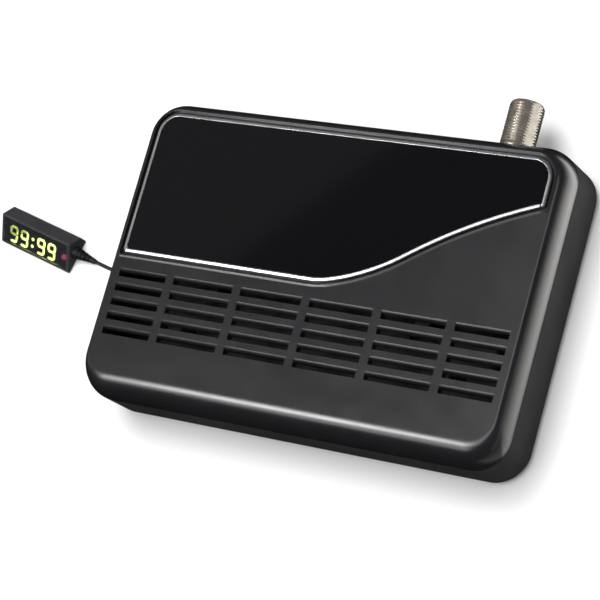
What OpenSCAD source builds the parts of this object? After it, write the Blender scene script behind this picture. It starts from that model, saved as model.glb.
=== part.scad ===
// Small satellite television receiver with a wedge display on a thin lead.
// Units are millimetres. The receiver stands on its feet, +Z up, +X to its right, +Y to its rear.
// The shapes are drawn about the middle of the receiver, then moved so that the origin
// lies under the middle of the receiver and its display together.

/* [Case] */
// Width of the case
body_w = 130; // [128:1:134]
// Depth of the case, front to rear
body_d = 86; // [84:1:90]
// Height of the case without its feet
case_h = 21; // [20.5:0.5:22]
// Height of the lid above the seam
lid_h = 7; // [6.5:0.25:7]
// Corner radius in plan
corner_r = 9.5; // [9:0.5:11]
// Run of the rounded edge at the sides of the lid
side_round = 2.5; // [2:0.5:3]
// Run of the rounded edge at the front of the lid
front_round = 6; // [5.5:0.5:6.5]
// Run of the rounded edge at the rear of the lid
rear_round = 4; // [3.5:0.5:4]
// Wall thickness of the shell
wall = 1.8; // [1.6:0.1:1.8]
// Height of the rubber feet below the case
foot_h = 1.5; // [1:0.25:2]

/* [Vents] */
// Length of the slots in the four middle columns
vent_l = 19.1; // [18:0.1:19.2]
// Length of the slots in the two outer columns
vent_end_l = 15.5; // [14:0.1:15.5]
// Width of each slot
vent_w = 1.4; // [1:0.1:1.6]
// Distance from one row to the next
vent_pitch = 4.15; // [3.9:0.05:4.2]
// Number of rows
vent_rows = 5; // [3:1:5]

/* [Plate] */
// Width of the silver edging
trim_w = 1.1; // [0.8:0.1:1.3]
// Depth of the pocket that holds the plate
plate_t = 1; // [0.8:0.1:1.1]

/* [Aerial socket] */
// Outside radius of the threaded barrel
aerial_r = 4.75; // [4.7:0.05:4.8]
// Length that stands out of the rear wall
aerial_l = 13.4; // [12:0.2:15]
// Height of its axis above the table
aerial_z = 11.9; // [11.6:0.1:12]

/* [Display] */
// Length of the display
disp_l = 27.7; // [27:0.1:28.5]
// Height of the sloping face, measured along it
face_h = 8.9; // [8.7:0.1:9.2]
// Height of the upright lip below the face
lip_h = 1; // [1:0.1:1.2]
// Slope of the face above the table
face_tilt = 37.5; // [36:0.5:40]
// Width of the sloping strip behind the face
strip_w = 4.8; // [4.6:0.1:5]

/* [Lead] */
// Diameter of the lead
lead_d = 1; // [0.9:0.05:1]
// Straight run of the tied hank
hank_run = 20; // [18:1:20]
// Distance between neighbouring turns
hank_pitch = 1.46; // [1.46:0.01:1.5]

/* [Hidden] */

$fn = 48;
eps = 0.01;

base_z = foot_h;
top_z = foot_h + case_h;
seam_z = top_z - lid_h;
seam_gap = 0.1;
floor_z = base_z + 2;
lid_t = 2.3;
lid_wall = 2.4;
ceiling_z = top_z - lid_t;
half_w = body_w / 2;
half_d = body_d / 2;
corner_steps = 8;
round_steps = 8;
running = 0.05;

// Slots and a bare recessed panel in the floor
floor_vent = [16, 1.5];
floor_vent_step = [20, 4];
panel_size = [52, 26, 0.3];
panel_at = [-26, 6];

// Fixings
post_x = half_w - 8;
post_y = half_d - 9;
posts = [[post_x, post_y], [-post_x, post_y], [post_x, -post_y], [-post_x, -post_y]];
post_split_z = floor_z + 5.5;
post_r = 3.2;
lid_post_r = 2.8;
boss_r = 2.4;
head_r = 2.4;
head_h = 1.6;
feet_at = [[50, 34], [-50, 34], [50, -34], [-50, -34]];
foot_r = 4;
foot_seat = 0.5;
screw_r = 1.25;
screw_hole_r = 1.3;

// Board and what stands on it
board_z = floor_z + 2.9;
board_t = 1.6;
board_top = board_z + board_t;
board_x = 58;
board_front = -25;
board_rear = half_d - 3.2;
board_holes = [[-42, -19], [42, -19], [-39, 32], [23, 32]];
video_x = 8;
video_size = [15, 12, 5.5];
usb_x = -28;
usb_size = [13.1, 14, 5.9];
sound_x = -10;
sound_z = board_top + 2.8;
jack_bore_r = 1.8;
power_x = -48;
power_z = board_top + 3.2;
power_bore_r = 2.8;
aerial_x = 43.2;
aerial_collar_r = 5.4;
aerial_flange_r = 6.2;
aerial_bore_r = 3.3;
aerial_core_r = 1.6;
contact_r = 0.65;
can_size = [18, 25.5, 8.4];
can_rear = half_d - 3;
side_jack_y = -19;
side_jack_z = floor_z + 2.6;

// Silver edging: its outer outline
edge_left = -61.2;
edge_right = 60.6;
edge_rear = 39;
edge_rear_r = 6;
edge_front_r = 0.8;
pocket_gap = 0.7;
edge_rise = 0.25;
// The front run is straight, then turns up, then bends back: radius and end slope of each arc
wave_x = -1;
wave_y = -2.75;
wave_r = [25.5, 62.5, 144.5];
wave_slope = [15, 35.5, 20];
wave_steps = [3, 5, 6];

// Display, from its front left corner at table level
disp_x = -120;
disp_y = -0.1;
disp_turn = -13.3;
disp_wall = 0.8;
strip_tilt = 42.5;
ridge_y = face_h * cos(face_tilt);
ridge_z = lip_h + face_h * sin(face_tilt);
disp_depth = ridge_y + strip_w * cos(strip_tilt);
disp_rear_z = ridge_z - strip_w * sin(strip_tilt);
glass_t = 0.5;
block_t = 0.5;
digit_h = 5.4;
digit_w = 3.3;
digit_x = [4.9, 9.2, 16.1, 20.4];
digit_y = 1.1;
digit_lean = 0.09;
stroke = 0.75;
lamp_at = [25.2, 3.9];
eye_at = [25.2, 6.6];

// Plug in the left wall
plug_x = -half_w;
pin_r = 1.75;
pin_l = 13.8;
grip_size = [5.7, 11.5, 5.6];
grip_rear = side_jack_y + 8.5;

// Route of the lead, chosen by hand
relief_root = [-92, -0.33, 2.15];
relief_tip = [-84.6, -2.05, 0.7];
relief_waist_at = 0.56;
plug_relief_tip = [-68.4, -4.5, side_jack_z];
hank_x = -70.2;
hank_y = 2.5;
hank_z = 0.8;
hank_inner_r = 1.85;
hank_layer = 1.45;
hank_waist = 0.8;
hank_turns = 7.5;
run_rings = 5;
bend_rings = 7;
hank_first = [-75.2, hank_y - lead_d, hank_z];
route_display = [
    relief_tip, [-83, -2.4, 0.55], [-81.2, -2.85, 0.5], [-79.4, -3.25, 0.5], [-78, -3.4, 0.5],
    [-76.8, -3.1, 0.5], [-75.8, -2.2, 0.5], [-75.35, -1, 0.55], [-75.2, 0.2, 0.7], hank_first
];

// The origin lies under the middle of everything but the lead
shift_x = -(disp_x + half_w) / 2;
shift_y = -aerial_l / 2;

module in_place() {
    translate([shift_x, shift_y, 0]) children();
}

// One rounded rectangle at height z, counter-clockwise
function ring(z, x0, x1, y0, y1, r) = [
    for (c = [[x1 - r, y1 - r, 0], [x0 + r, y1 - r, 90], [x0 + r, y0 + r, 180], [x1 - r, y0 + r, 270]])
        for (k = [0 : corner_steps])
            let (a = c[2] + 90 * k / corner_steps)
                [c[0] + r * cos(a), c[1] + r * sin(a), z]
];

// Skin through a stack of rings, or along a tube, closed at both ends
module skin(rings) {
    n = len(rings[0]);
    last = len(rings) - 1;
    points = [for (r = rings) each r];
    sides = [
        for (i = [0 : last - 1])
            for (k = [0 : n - 1])
                let (a = i * n + k, b = i * n + (k + 1) % n)
                    each [[a, a + n, b], [b, a + n, b + n]]
    ];
    floor_face = [for (k = [0 : n - 1]) k];
    roof_face = [for (k = [n - 1 : -1 : 0]) last * n + k];
    polyhedron(points, concat(sides, [floor_face, roof_face]), convexity = 8);
}

// Lid form: upright at the seam, flat on top, with a wider rounding at the front
module lid_form(inset, z0, z1, side, front, rear, r, r_loss) {
    skin([
        for (k = [0 : round_steps])
            let (a = 90 * k / round_steps, q = 1 - cos(a))
                ring(
                    z0 + (z1 - z0) * sin(a),
                    -half_w + inset + side * q, half_w - inset - side * q,
                    -half_d + inset + front * q, half_d - inset - rear * q,
                    r - r_loss * q
                )
    ]);
}

// Rounded rectangle with true arcs
module round_rect(w, d, r) {
    square([w - 2 * r, d], center = true);
    square([w, d - 2 * r], center = true);
    for (x = [-1, 1], y = [-1, 1])
        translate([x * (w / 2 - r), y * (d / 2 - r)]) circle(r);
}

// Tapered rod from p to q
module rod(p, q, r1, r2) {
    v = q - p;
    translate(p)
        rotate([0, acos(v[2] / norm(v)), atan2(v[1], v[0])])
            cylinder(h = norm(v), r1 = r1, r2 = r2);
}

// Round bar along +Y, from y0 to y1
module bar_y(x, z, y0, y1, r) {
    translate([x, y0, z]) rotate([-90, 0, 0]) cylinder(h = y1 - y0, r = r);
}

// Round bar along X, from x0 to x1
module bar_x(y, z, x0, x1, r) {
    translate([x0, y, z]) rotate([0, 90, 0]) cylinder(h = x1 - x0, r = r);
}

// Box by its middle in X, its rear face in Y and its floor in Z
module socket_box(x, y_rear, z, size) {
    translate([x - size[0] / 2, y_rear - size[1], z]) cube(size);
}

// ---- Case ----

module bottom_shell() {
    foot_round = 1.2;
    color("#2b2b2d") in_place() difference() {
        union() {
            difference() {
                skin([
                    for (s = [[0, 1], [0.3, 0.45], [0.65, 0.13], [1, 0]])
                        let (i = foot_round * s[1])
                            ring(base_z + foot_round * s[0], i - half_w, half_w - i,
                                 i - half_d, half_d - i, corner_r - i),
                    ring(seam_z - seam_gap, -half_w, half_w, -half_d, half_d, corner_r)
                ]);
                translate([0, 0, floor_z]) linear_extrude(lid_h + case_h)
                    round_rect(body_w - 2 * wall, body_d - 2 * wall, corner_r - wall);
            }
            for (p = posts)
                translate([p[0], p[1], floor_z - eps]) cylinder(h = post_split_z - floor_z + eps, r = post_r);
            for (p = board_holes)
                translate([p[0], p[1], floor_z - eps]) cylinder(h = board_z - floor_z + eps, r = boss_r);
        }
        for (p = posts) translate([p[0], p[1], 0]) {
            cylinder(h = post_split_z + 1, r = screw_hole_r);
            cylinder(h = floor_z, r = head_r + 0.2);
        }
        for (p = board_holes)
            translate([p[0], p[1], base_z + 1]) cylinder(h = board_z, r = 1.15);
        for (p = feet_at)
            translate([p[0], p[1], 0]) cylinder(h = base_z + foot_seat, r = foot_r);
        floor_vents();
        translate([panel_at[0], panel_at[1], base_z - eps]) cube(panel_size + [0, 0, eps]);
        rear_cuts();
        bar_x(side_jack_y, side_jack_z, -half_w - 1, -half_w + wall + 1, 2.5);
    }
}

module floor_vents() {
    for (column = [-1 : 1], row = [0 : 4])
        translate([column * floor_vent_step[0] - floor_vent[0] / 2, -10 - row * floor_vent_step[1], 0])
            cube([floor_vent[0], floor_vent[1], floor_z + 1]);
}

// Everything that comes out through the rear wall
module rear_cuts() {
    deep = wall + 1.5;
    bar_y(aerial_x, aerial_z, half_d - deep, half_d + 1, aerial_collar_r + 0.15);
    bar_y(sound_x, sound_z, half_d - deep, half_d + 1, 2.9);
    bar_y(power_x, power_z, half_d - deep, half_d + 1, 3.5);
    socket_box(video_x, half_d + 1, board_top - 0.25, [video_size[0] + 0.6, deep, video_size[2] + 0.5]);
    socket_box(usb_x, half_d + 1, board_top - 0.25, [usb_size[0] + 0.6, deep, usb_size[2] + 0.5]);
}

module top_cover() {
    lip_w = body_w - 2 * wall - 0.4;
    lip_d = body_d - 2 * wall - 0.4;
    color("#3c3c3f") in_place() difference() {
        union() {
            difference() {
                lid_form(0, seam_z, top_z, side_round, front_round, rear_round, corner_r, 2.5);
                lid_form(lid_wall, seam_z - eps, ceiling_z, 2.5, 5, 2.5, corner_r - lid_wall, 2);
            }
            difference() {
                translate([0, 0, seam_z - 1.6]) linear_extrude(2.8) difference() {
                    round_rect(lip_w, lip_d, corner_r - wall - 0.2);
                    round_rect(lip_w - 2.4, lip_d - 2.4, corner_r - wall - 1.4);
                }
                translate([-half_w + 5, half_d - 8, 0]) cube([body_w - 10, 8, top_z]);
                bar_x(side_jack_y, side_jack_z, -half_w, -half_w + 6, 3);
            }
            for (p = posts)
                translate([p[0], p[1], post_split_z]) cylinder(h = top_z - 1.5 - post_split_z, r = lid_post_r);
        }
        for (p = posts)
            translate([p[0], p[1], 0]) cylinder(h = top_z - 4, r = screw_hole_r);
        translate([0, 0, top_z - plate_t]) linear_extrude(plate_t + 1) plate_outline(-pocket_gap);
        vents();
        bar_y(aerial_x, aerial_z, half_d - 6, half_d - wall, aerial_flange_r + 0.2);
        bar_y(aerial_x, aerial_z, half_d - 6, half_d + 1, aerial_collar_r + 0.15);
    }
}

// Slots with a sloping rear edge
module vents() {
    gap = 2.6;
    step = vent_l + gap;
    first_y = -9;
    columns = [
        [-2 * step - gap - vent_end_l, vent_end_l], [-2 * step, vent_l], [-step, vent_l],
        [0, vent_l], [step, vent_l], [2 * step, vent_end_l]
    ];
    for (row = [0 : vent_rows - 1], c = columns)
        translate([c[0] + gap / 2, first_y - row * vent_pitch, top_z])
            rotate([90, 0, 90]) linear_extrude(c[1])
                polygon([
                    [-vent_w / 2, -4], [vent_w / 2, -4], [vent_w / 2, -1],
                    [vent_w / 2 + 1, 0.02], [-vent_w / 2, 0.02]
                ]);
}

// Outline of the plate, moved inwards by e
module plate_outline(e) {
    a1 = wave_slope[0];
    a2 = wave_slope[1];
    a3 = wave_slope[2];
    c1 = [wave_x, wave_y + wave_r[0]];
    c2 = c1 + (wave_r[0] - wave_r[1]) * [sin(a1), -cos(a1)];
    c3 = c2 + (wave_r[1] + wave_r[2]) * [sin(a2), -cos(a2)];
    x0 = edge_left + e;
    x1 = edge_right - e;
    y1 = edge_rear - e;
    end_slope = asin((c3[0] - x1) / (wave_r[2] + e));
    polygon(concat(
        [for (k = [0 : wave_steps[0]]) let (a = a1 * k / wave_steps[0])
            c1 + (wave_r[0] - e) * [sin(a), -cos(a)]],
        [for (k = [1 : wave_steps[1]]) let (a = a1 + (a2 - a1) * k / wave_steps[1])
            c2 + (wave_r[1] - e) * [sin(a), -cos(a)]],
        [for (k = [1 : wave_steps[2]]) let (a = a2 + (end_slope - a2) * k / wave_steps[2])
            c3 + (wave_r[2] + e) * [-sin(a), cos(a)]],
        corner([x1 - edge_rear_r + e, y1 - edge_rear_r + e], edge_rear_r - e, 0),
        corner([x0 + edge_rear_r - e, y1 - edge_rear_r + e], edge_rear_r - e, 90),
        [[x0, wave_y + e + edge_front_r], [x0 + edge_front_r, wave_y + e]]
    ));
}

function corner(c, r, a0) = [for (k = [0 : corner_steps]) let (a = a0 + 90 * k / corner_steps)
    c + r * [cos(a), sin(a)]];

module gloss_plate() {
    color("#101012") in_place()
        translate([0, 0, top_z - plate_t]) linear_extrude(plate_t) plate_outline(trim_w);
}

module silver_edging() {
    mitre = 0.35;
    color("#c9cacc") in_place() difference() {
        translate([0, 0, top_z - plate_t]) linear_extrude(plate_t + edge_rise) difference() {
            plate_outline(0);
            plate_outline(trim_w - running);
        }
        translate([edge_right - trim_w - mitre, wave_y + 15, 0]) cube([mitre, 20, top_z + 1]);
    }
}

module rubber_feet() {
    color("#1a1a1a") in_place() for (p = feet_at)
        translate([p[0], p[1], 0]) {
            translate([0, 0, 0.4]) cylinder(h = base_z + foot_seat - 0.4, r = foot_r);
            cylinder(h = 0.4, r = foot_r - 0.4);
        }
}

// Screw with its head down: z is the underside of the head, l the length of the shank
module screw(p, z, head_r, head_h, r, l) {
    translate([p[0], p[1], z]) difference() {
        union() {
            cylinder(h = head_h, r = head_r);
            cylinder(h = head_h + l, r = r);
        }
        for (a = [0, 90]) rotate(a)
            translate([-head_r * 0.6, -0.2, -eps]) cube([head_r * 1.2, 0.4, head_h / 2]);
    }
}

module case_screws() {
    color("#8a8a8c") in_place() for (p = posts)
        screw(p, floor_z - head_h, head_r, head_h, screw_r, 12);
}

// ---- Board ----

module main_board() {
    color("#1f5a34") in_place() translate([0, 0, board_z]) difference() {
        translate([-board_x, board_front, 0]) cube([2 * board_x, board_rear - board_front, board_t]);
        for (p = posts)
            translate([p[0], p[1], -1]) cylinder(h = board_t + 2, r = 4.2);
        for (p = board_holes)
            translate([p[0], p[1], -1]) cylinder(h = board_t + 2, r = 1.4);
        translate([-board_x - 1, side_jack_y - 3.3, -1]) cube([9.5, 6.6, board_t + 2]);
    }
}

module board_screws() {
    color("#b0b0b2") in_place() for (p = board_holes)
        translate([0, 0, board_top + 1.4]) mirror([0, 0, 1]) screw(p, 0, 2.1, 1.4, 1.05, 5);
}

module tuner_can() {
    sheet = 0.4;
    color("#b9babb") in_place() difference() {
        socket_box(aerial_x, can_rear, board_top, can_size);
        socket_box(aerial_x, can_rear - sheet, board_top - eps, can_size - [2 * sheet, 2 * sheet, sheet]);
        for (x = [-1.5 : 1.5], y = [0 : 3])
            translate([aerial_x + 4.4 * x, can_rear - 6 - 4.5 * y, board_top + 5])
                cylinder(h = 5, r = 1, $fn = 16);
        bar_y(aerial_x, aerial_z, can_rear - 1, can_rear + 1, 1.8);
    }
}

module aerial_barrel() {
    rear = half_d + aerial_l;
    flange_y = can_rear + running;
    nose = 1.8;
    nose_steps = 5;
    nose_r = aerial_r - aerial_bore_r - running;
    color("#c2bfb6") in_place() difference() {
        union() {
            bar_y(aerial_x, aerial_z, flange_y, half_d - wall - running, aerial_flange_r);
            bar_y(aerial_x, aerial_z, flange_y, half_d, aerial_collar_r);
            bar_y(aerial_x, aerial_z, half_d - 1, rear - nose, aerial_r);
            translate([aerial_x, rear - nose, aerial_z]) rotate([-90, 0, 0]) rotate_extrude()
                polygon(concat(
                    [[0, nose], [0, -1]],
                    [for (k = [0 : nose_steps]) let (a = 90 * k / nose_steps)
                        [aerial_r - nose_r * (1 - cos(a)), nose * sin(a)]]
                ));
        }
        bar_y(aerial_x, aerial_z, half_d + 3, rear + 1, aerial_bore_r);
        bar_y(aerial_x, aerial_z, can_rear - 1, rear, aerial_core_r);
    }
}

module aerial_insulator() {
    color("#e9e7dd") in_place() difference() {
        union() {
            bar_y(aerial_x, aerial_z, half_d + 3, half_d + aerial_l - 1.2, aerial_bore_r);
            bar_y(aerial_x, aerial_z, can_rear - 0.3, half_d + 4, aerial_core_r);
        }
        bar_y(aerial_x, aerial_z, can_rear - 1, half_d + aerial_l, contact_r);
    }
}

module aerial_contact() {
    color("#c9a24a") in_place() difference() {
        bar_y(aerial_x, aerial_z, can_rear - 4, half_d + aerial_l - 2.2, contact_r);
        bar_y(aerial_x, aerial_z, half_d + 2, half_d + aerial_l, 0.42);
    }
}

module video_socket() {
    outer = video_size;
    color("#b4b5b8") in_place() difference() {
        socket_box(video_x, half_d, board_top, outer);
        socket_box(video_x, half_d + 1, board_top + 0.4, [outer[0] - 0.8, outer[1], outer[2] - 0.8]);
        for (s = [-1, 1])
            translate([video_x + s * outer[0] / 2, half_d + 1, board_top])
                rotate([90, 0, 0]) cylinder(h = outer[1] + 2, r = 1.2, $fn = 4);
    }
}

module video_tongue() {
    color("#151515") in_place() {
        socket_box(video_x, half_d - 1.2, board_top + 1.9, [11.2, 9.8, 1.5]);
        socket_box(video_x, half_d - 10.2, board_top + 0.4, [13, 0.8, 4.7]);
    }
}

module usb_socket() {
    outer = usb_size;
    color("#b4b5b8") in_place() difference() {
        socket_box(usb_x, half_d, board_top, outer);
        socket_box(usb_x, half_d + 1, board_top + 0.35, [outer[0] - 0.7, outer[1], outer[2] - 0.7]);
    }
}

module usb_tongue() {
    color("#f0f0ee") in_place() {
        socket_box(usb_x, half_d - 0.6, board_top + 3.2, [11.1, 12, 1.8]);
        socket_box(usb_x, half_d - 12, board_top + 0.35, [12.3, 1, 5.2]);
    }
}

module sound_jack() {
    color("#1b1b1d") in_place() difference() {
        union() {
            socket_box(sound_x, half_d - wall - 0.1, board_top, [7, 12.5, 5.6]);
            bar_y(sound_x, sound_z, half_d - 3, half_d, 2.75);
        }
        bar_y(sound_x, sound_z, half_d - 13.5, half_d + 1, jack_bore_r);
    }
}

module power_jack() {
    color("#161617") in_place() difference() {
        union() {
            socket_box(power_x, half_d - wall - 0.6, board_top, [9, 12.4, 6.8]);
            bar_y(power_x, power_z, half_d - 3, half_d, 3.35);
        }
        bar_y(power_x, power_z, half_d - 10, half_d + 1, power_bore_r);
    }
}

module power_pin() {
    color("#cfcfd1") in_place() bar_y(power_x, power_z, half_d - 10, half_d - 1, 1.05);
}

module display_jack() {
    color("#1b1b1d") in_place() difference() {
        union() {
            translate([-half_w + wall + 0.1, side_jack_y - 3, side_jack_z - 2.5]) cube([13, 6, 5]);
            bar_x(side_jack_y, side_jack_z, -half_w, -half_w + 3, 2.35);
        }
        bar_x(side_jack_y, side_jack_z, -half_w - 1, -half_w + pin_l + 0.6, jack_bore_r);
    }
}

module decoder_chip() {
    color("#1d1d1f") in_place() translate([-3, -3, board_top]) cube([15, 15, 1.2]);
}

module heat_sink() {
    color("#8f9194") in_place() translate([-5.5, -5.5, board_top + 1.2]) difference() {
        cube([20, 20, 6.5]);
        for (k = [0 : 5])
            translate([1.6 + 3.1 * k, -1, 1.6]) cube([1.8, 22, 6]);
    }
}

module memory_chips() {
    color("#222224") in_place() {
        translate([-24, -2, board_top]) cube([11, 18.4, 1]);
        translate([20, -14, board_top]) cube([6, 8, 1.6]);
    }
}

module capacitors() {
    spots = [[-50, 2, 3.1], [-41, 0, 2.5], [-33, 10, 3.1], [-49, 14, 2.5], [32, -8, 2.5], [52, -12, 3.1]];
    color("#23252b") in_place() for (s = spots)
        translate([s[0], s[1], board_top]) {
            cylinder(h = 7.4, r = s[2]);
            cylinder(h = 8, r = s[2] - 0.35);
        }
}

module crystal_and_coils() {
    color("#9d9ea0") in_place() {
        translate([18, 4, board_top]) for (x = [0, 6.5])
            translate([x, 0, 0]) cylinder(h = 3.4, r = 2.3);
        translate([18, 1.7, board_top]) cube([6.5, 4.6, 3.4]);
        for (p = [[-40, -10], [-33, -4]])
            translate([p[0], p[1], board_top]) cube([5.5, 5.5, 4]);
    }
}

// ---- Display ----

module at_display() {
    in_place() translate([disp_x, disp_y, 0]) rotate(disp_turn) children();
}

// On the sloping face: X along it, Y up it, Z out of it
module at_face() {
    at_display() translate([0, 0, lip_h]) rotate([face_tilt, 0, 0]) children();
}

module wedge() {
    polygon([[0, 0], [0, lip_h], [ridge_y, ridge_z], [disp_depth, disp_rear_z], [disp_depth, 0]]);
}

module display_housing() {
    color("#26272d") difference() {
        at_display() rotate([90, 0, 90]) linear_extrude(disp_l) wedge();
        at_display() translate([disp_wall, 0, 0]) rotate([90, 0, 90])
            linear_extrude(disp_l - 2 * disp_wall) offset(delta = -disp_wall) wedge();
        at_display() translate([disp_wall, disp_wall, -1])
            cube([disp_l - 2 * disp_wall, disp_depth - 2 * disp_wall, 1.9]);
        at_face() translate([1, 0.6, -1.2]) cube([disp_l - 2, face_h - 1.2, 2]);
    }
}

module display_base() {
    fit = disp_wall + 0.05;
    color("#26272d") at_display() translate([fit, fit, 0])
        cube([disp_l - 2 * fit, disp_depth - 2 * fit, 0.6]);
}

module display_window() {
    color("#10131c") at_face() translate([1.05, 0.65, -glass_t])
        cube([disp_l - 2.1, face_h - 1.3, glass_t - 0.05]);
}

module digit_block() {
    color("#15151a") at_face() translate([2, 0.9, -glass_t - 0.1 - block_t])
        cube([21.4, 6.1, block_t]);
}

// One bar of a digit, lying along X with pointed ends
module segment(l) {
    s = stroke / 2;
    polygon([[-l / 2, 0], [s - l / 2, s], [l / 2 - s, s], [l / 2, 0], [l / 2 - s, -s], [s - l / 2, -s]]);
}

// Seven-bar digit showing 9, with its foot at the origin
module nine() {
    w = digit_w - stroke;
    h = (digit_h - stroke) / 2;
    multmatrix([[1, digit_lean, 0, 0], [0, 1, 0, 0], [0, 0, 1, 0]]) linear_extrude(0.1) {
        for (k = [0 : 2])
            translate([0, stroke / 2 + k * h]) segment(w);
        for (p = [[w / 2, h / 2], [w / 2, 1.5 * h], [-w / 2, 1.5 * h]])
            translate([p[0], stroke / 2 + p[1]]) rotate(90) segment(h);
    }
}

module lit_digits() {
    color("#d9f24a") at_face() translate([0, digit_y, -glass_t - 0.1]) {
        for (x = digit_x) translate([x - digit_lean * digit_h / 2, 0, 0]) nine();
        for (y = [1.6, 3.9])
            translate([12.65 + digit_lean * (y - digit_h / 2), y, 0]) cylinder(h = 0.1, r = 0.5, $fn = 20);
    }
}

module status_lamp() {
    color("#e02020") at_face()
        translate([lamp_at[0], lamp_at[1], -glass_t - 0.6]) cylinder(h = 0.55, r = 0.8);
}

module infrared_eye() {
    color("#1a1218") at_face()
        translate([eye_at[0] - 0.8, eye_at[1] - 0.8, -glass_t - 0.6]) cube([1.6, 1.6, 0.55]);
}

module display_board() {
    color("#1f5a34") at_face() translate([1.5, 1.9, -glass_t - 1.1]) cube([24.8, 6, 0.5]);
}

module display_relief() {
    v = relief_tip - relief_root;
    l = norm(v);
    color("#1c1d22") in_place() translate(relief_root)
        rotate([0, acos(v[2] / l), atan2(v[1], v[0])]) rotate_extrude()
            polygon([[0, 0], [2, 0], [1.2, relief_waist_at * l], [0.65, l], [0, l]]);
}

// ---- Plug ----

module plug_pin() {
    tip = plug_x + pin_l - 0.6;
    color("#d0d0cc") in_place() {
        bar_x(side_jack_y, side_jack_z, plug_x - 1.2, tip - 2, pin_r);
        bar_x(side_jack_y, side_jack_z, tip - 2, tip - 1.2, pin_r - 0.4);
        translate([tip - 1.2, side_jack_y, side_jack_z]) rotate([0, 90, 0])
            cylinder(h = 1.2, r1 = pin_r, r2 = 0.6);
    }
}

module plug_grip() {
    color("#1b1b1e") in_place() difference() {
        union() {
            bar_x(side_jack_y, side_jack_z, plug_x - 0.7, plug_x - 0.1, 2.5);
            translate([plug_x - 0.6 - grip_size[0] / 2, grip_rear - grip_size[1] / 2,
                       side_jack_z - grip_size[2] / 2])
                linear_extrude(grip_size[2]) round_rect(grip_size[0], grip_size[1], 1.6);
        }
        bar_x(side_jack_y, side_jack_z, plug_x - 1.2, plug_x, pin_r);
    }
}

module plug_relief() {
    color("#1b1b1e") in_place()
        rod([plug_relief_tip[0], grip_rear, side_jack_z], plug_relief_tip, 1.6, 0.7);
}

// ---- Lead ----

// Turned outline of the tube round each point of a route
function tube_rings(route, r, sides) = [
    for (i = [0 : len(route) - 1])
        let (
            back = route[max(i - 1, 0)],
            ahead = route[min(i + 1, len(route) - 1)],
            t = (ahead - back) / norm(ahead - back),
            s = cross(t, [0, 0, 1]) / norm(cross(t, [0, 0, 1])),
            u = cross(s, t)
        )
            [for (k = [0 : sides - 1]) let (a = 360 * (k + 0.5) / sides)
                route[i] + r * (cos(a) * s + sin(a) * u)]
];

module tube(route, sides) {
    skin(tube_rings(route, lead_d / 2, sides));
}

// Share of one turn that a straight run takes, and the two turn counts at which the spiral is innermost
run_share = 0.3;
half_share = 0.5;
innermost = [2 + run_share / 2, 6 + run_share / 2];
hank_end = hank_turns + run_share;

// Radius of the spiral after t turns: in, out, in, out at a steady rate
function spiral_r(t) = hank_inner_r + hank_pitch * min([for (m = innermost) abs(t - m)]);

// Height after t turns: each layer is level, and the climb fills the run where the spiral turns back
function spiral_z(t) = let (s = (t - run_share / 2) / 2, k = round(s), f = (s - k) * 2 / run_share)
    hank_z + hank_layer * (k < 1 ? 0 : k - 1 + max(0, min(1, f + half_share)));

function waist(f) = hank_waist * pow(sin(180 * f), 2);

// Point of the hank after t turns: out along one run, round, back along the other, round
function hank_point(t) = let (
    f = t - floor(t),
    second = f >= half_share,
    g = second ? f - half_share : f,
    side = second ? 1 : -1,
    bend = max(0, (g - run_share) / (half_share - run_share)),
    along = min(1, g / run_share),
    r = spiral_r(t) - (g < run_share ? waist(along) : 0),
    a = 180 * bend
) [
    hank_x + side * r * cos(a),
    hank_y + (second ? 1 - along : along) * hank_run - side * r * sin(a),
    spiral_z(t)
];

// Turn counts at which the hank has a ring
hank_steps = [
    for (h = [0 : 2 * hank_turns])
        each concat(
            [for (k = [0 : run_rings - 1]) h / 2 + run_share * k / run_rings],
            h < 2 * hank_turns
                ? [for (k = [0 : bend_rings - 1]) h / 2 + run_share + (half_share - run_share) * k / bend_rings]
                : [h / 2 + run_share]
        )
];
hank_route = concat(
    [hank_first],
    [for (t = hank_steps) hank_point(t)],
    [hank_point(hank_end) - [0, lead_d, 0]]
);

function segment_distance(p, a, b) =
    let (v = b - a, f = max(0, min(1, ((p - a) * v) / (v * v)))) norm(p - a - f * v);

// Least free space between two stretches of the hank, measured from each point to each stretch
function least_gap(route, apart) = min([
    for (i = [0 : len(route) - 1])
        for (j = [0 : len(route) - 2])
            if (i - j > apart || j + 1 - i > apart)
                segment_distance(route[i], route[j], route[j + 1])
]) - lead_d;

function route_length(route, i = 0) =
    i >= len(route) - 1 ? 0 : norm(route[i + 1] - route[i]) + route_length(route, i + 1);

hank_last = hank_route[len(hank_route) - 1];
route_plug = [
    hank_last, [-66.05, 0.4, 5.2], [-66.5, -0.7, 5.35], [-67.1, -1.8, 5.6], [-67.7, -2.8, 5.8],
    [-68.2, -3.7, 5.98], plug_relief_tip
];

module lead_display_side() {
    color("#17171a") in_place() tube(route_display, 8);
}

module lead_plug_side() {
    color("#17171a") in_place() tube(route_plug, 8);
}

module lead_hank() {
    echo(least_gap = least_gap(hank_route, 3));
    echo(lead_length = route_length(route_display) + route_length(hank_route) + route_length(route_plug));
    color("#17171a") in_place() tube(hank_route, 6);
}

module hank_tie() {
    band = 0.25;
    width = 3;
    color("#2a2a2c") in_place()
        translate([0, hank_y + hank_run / 2 + width / 2, 0]) rotate([90, 0, 0])
            linear_extrude(width) difference() {
                tie_outline(band);
                tie_outline(0);
            }
}

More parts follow.
